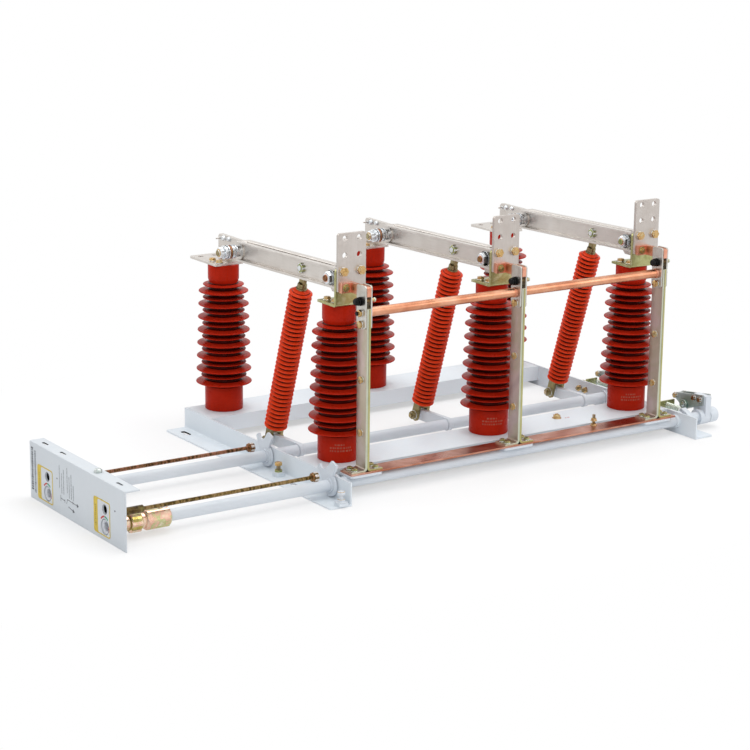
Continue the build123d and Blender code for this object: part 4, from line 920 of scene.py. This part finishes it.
def weld_line(name, x, front, back):
    """A run of small overlapping beads along the seam between a beam's top and an end frame."""
    piece = Piece(name, PAINT)
    radius = 1.5
    count = int((back - front) / (radius * 1.1))
    for step in range(count + 1):
        y = front + (back - front) * step / count
        piece.bead((x, y, BEAM_TOP), radius * (0.9 + 0.2 * random.random()))
    piece.make("frame", 80)


strip_details()
beam_details()
stop_details()
for row, (front, back) in enumerate(((197, 313), (-342, -226)), 1):
    for end, x in (("left", -534), ("right", 524)):
        weld_line(f"beam_weld_{row}_{end}", x, front, back)


# Couplings and lock rods

FACE = -1129
COLLAR_X = -1060
ROD_NUT_X = -610
ROD_DY, ROD_DZ = -37, 40


def shaft_details(kind, y):
    """The screw and the pin on a coupling, its collar and neck rings, and the liner of its socket."""
    piece = Piece(f"{kind}_coupling_rings", BRIGHT)
    piece.stack((-986, y - 2, SHAFT_Z + 21.4), UP, (0.4, BRIGHT, NUT, 9, 3.2),
                (0, BRIGHT, BAR, 6.4, 1.2, 20, 0.3))
    piece.stack((-994, y - 2, SHAFT_Z + 21.9), UP, (0, BRIGHT, RING, 2, 4.6, 2.6, 20))
    piece.stack((COLLAR_X, y, SHAFT_Z), LEFT, (-0.2, COLLAR, NUT, 42.4, 13.4, 2.2))
    piece.stack((COLLAR_X, y, SHAFT_Z), RIGHT, (-0.2, COLLAR, NUT, 42.4, 13.4, 2.2),
                (13.4, COLLAR, RING, 18, 19, 2.4, 40), (-15.2, COLLAR, RING, 16.1, 17.2, 1.6, 40))
    liner = ((0, 15.5), (2.2, 11.2), (2.8, 10.5), (40, 10.5), (40, 10.9), (3, 10.9), (3, 15.9), (0, 15.9))
    piece.stack((FACE, y, SHAFT_Z), RIGHT, (0.4, LINER, TURNED, liner, 44, True))
    piece.make(f"{kind}_shaft")


def lock_rod_details(kind, y):
    """The nuts at the end of a lock rod, and the shell over its guide behind the faceplate."""
    y, z = y + ROD_DY, SHAFT_Z + ROD_DZ
    piece = Piece(f"{kind}_rod_nuts", PLATED)
    piece.stack((ROD_NUT_X, y, z), LEFT, (-0.1, PLATED, NUT, 20.4, 5.2, 1), (5.1, BRONZED, NUT, 18.4, 5.1, 1))
    piece.stack((ROD_NUT_X, y, z), RIGHT, (-0.1, PLATED, NUT, 20.4, 5.2, 1.2),
                (5.2, BRONZED, RING, 4.6, 8.4, 0.8), (6.8, THREAD, BAR, 4.45, 2.4, 20, 0.9))
    piece.make(f"{kind}_lock")
    shell = ((0, 8.55), (0, 8.75), (1, 8.8), (68.6, 8.8), (70.3, 8), (70.3, 4.7), (70.1, 4.7), (70.1, 8.55))
    guide = Piece(f"{kind}_rod_guide", NEAR_BLACK_ZINC)
    guide.lathe((FACE + 3, y, z), RIGHT, shell, 36, closed=True)
    guide.make("frame")


shaft_details("main", MAIN_Y)
shaft_details("earth", EARTH_Y)
lock_rod_details("main", MAIN_Y)
lock_rod_details("earth", EARTH_Y)


# Levers at the right end

LEVER_BOLTS = ((-2, 46, BRONZED), (20, 46, BRONZED), (91, 38, GOLD), (57, 21, BRIGHT))


def lever_details(kind, y, lever):
    """Washers and nuts of the lever's bolts, and the bright roller with its green ring."""
    piece = Piece(f"{kind}_lever_washers", BRIGHT)
    for axis, face in ((LEFT, lever), (RIGHT, lever + 29)):
        for dy, dz, material in LEVER_BOLTS:
            piece.stack((face, y + dy, SHAFT_Z + dz), axis, (0, BRIGHT, RING, 4.2, 8.6, 1.3),
                        (1.3, material, NUT, 13.3, 4.8))
    roller = ((0, 7.8), (0, 12.4), (0.8, 13.2), (3.6, 13.2), (4.4, 12.4), (4.4, 11), (3.6, 10.6), (3.6, 7.8))
    piece.stack((lever, y + 57, SHAFT_Z + 21), LEFT, (0.9, TEAL, TURNED, roller, 40, True),
                (0.2, GREEN, RING, 7.8, 13.6, 0.7, 40))
    piece.make(f"{kind}_shaft")


lever_details("main", MAIN_Y, 576)
lever_details("earth", EARTH_Y, 604)


# Faceplate: framed labels with plain marks and arcs, two dots, and a generic diagram

KEY_Z = SHAFT_Z + 40
SOCKET_R, KEY_R = 17.4, 10.4


def on_face(piece, loops, lift, base=0):
    """A thin layer on the outer face of the faceplate, from base to lift."""
    piece.plate(loops, FACE - lift, FACE - base)


def block(y, z, half_width, height):
    """The corners of a plain mark that stands on z."""
    left, right, top = y - half_width, y + half_width, z + height
    return [(left, z), (right, z), (right, top), (left, top)]


def label(kind, y, low, high):
    """A yellow frame with a wide band on one side, and an arc from red to green over the socket."""
    inside = frame_loop(low + 2.6, 12.4, high - 19.5, 88.4, 4.5)
    piece = Piece(f"{kind}_label", LABEL)
    on_face(piece, [inside, circle(y, SHAFT_Z, SOCKET_R), circle(y, KEY_Z, KEY_R)], 0.45)
    piece.use(YELLOW)
    on_face(piece, [frame_loop(low, 9.5, high, 91, 7), inside], 0.5)
    piece.use(FADED)
    for radius, z in ((SOCKET_R, SHAFT_Z), (KEY_R, KEY_Z)):
        on_face(piece, [circle(y, z, radius + 0.9), circle(y, z, radius)], 0.7, 0.45)
    for material, start, stop in ((LABEL_RED, 38, 84), (LABEL_GREEN, 87, 128)):
        piece.use(material)
        outer = arc(y, SHAFT_Z, 25.2, range(start, stop + 1, 2))
        on_face(piece, [outer + arc(y, SHAFT_Z, 21.4, range(stop, start - 1, -2))], 0.7, 0.45)
    piece.use(BAND_INK)
    for step in range(11):
        half_width = random.uniform(1.2, 1.9)
        on_face(piece, [block(high - 9.5, 24 + step * 4.6, half_width, random.uniform(1.4, 3))], 0.65, 0.5)
    piece.use(LABEL_RED)
    on_face(piece, [frame_loop(y - 18.8, 24, y - 17.4, 36, 0.5, 2)], 0.9, 0.45)
    piece.make("frame", 30)


def key_barrel(kind, y):
    """The inside of a key hole, near-black as painted shadow, with the end of the lock's pin in it."""
    barrel = Piece(f"{kind}_key_barrel", PAINTED_SHADOW)
    cup = ((0, 9.7), (0, 11.4), (24, 11.4), (25, 10.4), (25, 0), (22, 0), (22, 9.7))
    barrel.lathe((FACE + 3, y, KEY_Z), RIGHT, cup, 36)
    barrel.lathe((FACE + 3, y, KEY_Z), RIGHT, ((0, 9.7), (22, 9.7)), 36)
    barrel.use(COLLAR)
    barrel.bar((FACE + 21.4, y - 1.5, KEY_Z - 3), RIGHT, 4.6, 3.5, 20, 0.6)
    barrel.make("frame")


for kind, y, low, high in (("main", MAIN_Y, -124.5, -45.5), ("earth", EARTH_Y, -407, -329.5)):
    label(kind, y, low, high)
    key_barrel(kind, y)


def stroke(piece, points, wide=1.3):
    """A thin line of straight pieces on the faceplate."""
    for (y0, z0), (y1, z1) in zip(points, points[1:]):
        along = Vector((y1 - y0, z1 - z0)).normalized()
        side = Vector((-along.y, along.x)) * wide / 2
        on_face(piece, [[(y0 + side.x, z0 + side.y), (y1 + side.x, z1 + side.y), (y1 - side.x, z1 - side.y),
                         (y0 - side.x, z0 - side.y)]], 0.25)


def arrow(piece, points, wide=1.3, tip=9):
    stroke(piece, points, wide)
    (y0, z0), (y1, z1) = points[-2:]
    along = Vector((y1 - y0, z1 - z0)).normalized()
    side = Vector((-along.y, along.x)) * tip * 0.5
    along *= tip
    corners = [(y1 + edge.x, z1 + edge.y) for edge in (along, side, -side)]
    on_face(piece, [corners], 0.3)


def mark_column(piece, y, low, high, wide, longest):
    """A column of short plain marks where the real plate carries its lines of print."""
    z = low
    while z < high:
        tall = random.uniform(0.4, 1) * longest
        on_face(piece, [block(y, z, wide * random.uniform(0.32, 0.5), tall)], 0.2)
        z += tall + random.uniform(0.4, 0.9) * longest * 0.6


def face_marks():
    piece = Piece("face_marks", INK)
    for y in (-147.5, -430.5):
        piece.lathe((FACE - 0.05, y, 81), RIGHT, ((0, 0), (0, 2), (-0.4, 1.7), (-0.6, 0)), 20)
    for line in ([(-165, 47), (-165, 33)], [(-165, 40), (-186, 38)], [(-186, 42), (-186, 34)]):
        stroke(piece, line)
    arrow(piece, [(-194, 34), (-199, 45), (-246, 43)])
    stroke(piece, [(-226, 47), (-226, 40)])
    arrow(piece, [(-203, 29), (-225, 25)], 1.5)
    piece.use(FADED)
    for y, low, high in ((-160, 62, 116), (-171, 52, 98), (-181, 52, 108), (-199, 60, 118), (-209, 50, 100),
                         (-219, 50, 108), (-229, 50, 84)):
        mark_column(piece, y, low, high, 3.2, 2.4)
    piece.use(INK)
    mark_column(piece, -19, 22, 120, 11, 5)
    piece.use(FADED)
    mark_column(piece, -34, 18, 118, 10, 3.4)
    piece.make("frame", 30)


face_marks()


# Floor and light

def seen_or_mirrored(tree):
    """One for rays of the camera and for rays that come off or pass through glossy pieces."""
    path = add_node(tree, "LightPath", {}).outputs
    first = add_node(tree, "Math", {0: path["Is Camera Ray"], 1: path["Is Glossy Ray"]}, operation="MAXIMUM")
    both = {0: first.outputs["Value"], 1: path["Is Transmission Ray"]}
    return add_node(tree, "Math", both, operation="MAXIMUM").outputs["Value"]


def add_floor():
    """A pale floor that keeps the shadow near the object and runs out to plain white."""
    size, below = 14, 0.0004
    data = bpy.data.meshes.new("floor")
    corners = [(x * size, y * size, 0) for x, y in ((-1, -1), (1, -1), (1, 1), (-1, 1))]
    data.from_pydata(corners, [], [(0, 1, 2, 3)])
    s = Shader("floor_white", {"Specular IOR Level": 0.1})
    s.color(s.mix(s.spread(s.noise(3, 3), 0, 1), (90, 90, 90.5), (88.5, 88.5, 89)))
    s.rough(s.spread(s.noise(20, 3), 0.6, 0.75))
    shadowed = s.node("BsdfDiffuse", {"Color": (42, 42, 42.2)})
    near = s.node("AddShader", {0: shadowed, 1: s.node("Emission", {"Strength": 0.5})})
    white = s.node("Emission", {})
    middle = s.node("Mapping", {"Vector": s.coords, "Location": (-0.22, 0.08, 0), "Scale": (0.62, 1, 1)})
    away = s.node("VectorMath", {0: middle}, "Value", operation="LENGTH")
    shown = s.node("MixShader", {0: s.spread(away, 0, 1, 0.62, 1.05), 1: near, 2: white})
    chosen = s.node("MixShader", {0: seen_or_mirrored(s.tree), 1: s.surface.outputs["BSDF"], 2: shown})
    s.tree.links.new(chosen, s.tree.nodes["Material Output"].inputs["Surface"])
    data.materials.append(s.material)
    floor = new_object("floor", data)
    floor.location = (0, 0, -below)


def add_lamp(name, place, aim, width, height, power):
    lamp = bpy.data.lights.new(name, "AREA")
    lamp.shape = "RECTANGLE"
    lamp.size = width
    lamp.size_y = height
    lamp.energy = power
    thing = new_object(name, lamp)
    thing.location = place
    thing.rotation_euler = (Vector(aim) - Vector(place)).to_track_quat("-Z", "Y").to_euler()


def add_world():
    """White where the camera or a glossy piece sees it, and soft light from above for the rest."""
    world = bpy.data.worlds.new("studio")
    world.use_nodes = True
    tree = world.node_tree
    tree.nodes.clear()
    coords = add_node(tree, "TexCoord", {}).outputs["Generated"]
    height = add_node(tree, "SeparateXYZ", {"Vector": coords}).outputs["Z"]
    sky = add_ramp(tree, height, (0, (55, 56, 58)), (0.75, (100, 100, 100)))
    around = add_node(tree, "Background", {"Color": sky, "Strength": 0.84}).outputs[0]
    seen = add_node(tree, "Background", {"Color": (100, 100, 100)}).outputs[0]
    chosen = add_node(tree, "MixShader", {0: seen_or_mirrored(tree), 1: around, 2: seen}).outputs[0]
    add_node(tree, "OutputWorld", {"Surface": chosen})
    bpy.context.scene.world = world


add_floor()
add_world()
add_lamp("key", (-2.2, -3.6, 3.4), (0.5, -0.1, 0.2), 2.6, 2.6, 42)
add_lamp("fill", (3.4, -3.2, 2.2), (0.6, 0, 0.25), 2.4, 2.4, 24)
add_lamp("top", (0.9, 0, 3.8), (0.65, 0, 0.2), 3, 2.4, 66)
add_lamp("rim", (-1.2, 3.4, 2.4), (0.5, 0.1, 0.3), 2, 1.8, 20)

bpy.context.scene.view_settings.view_transform = "Standard"
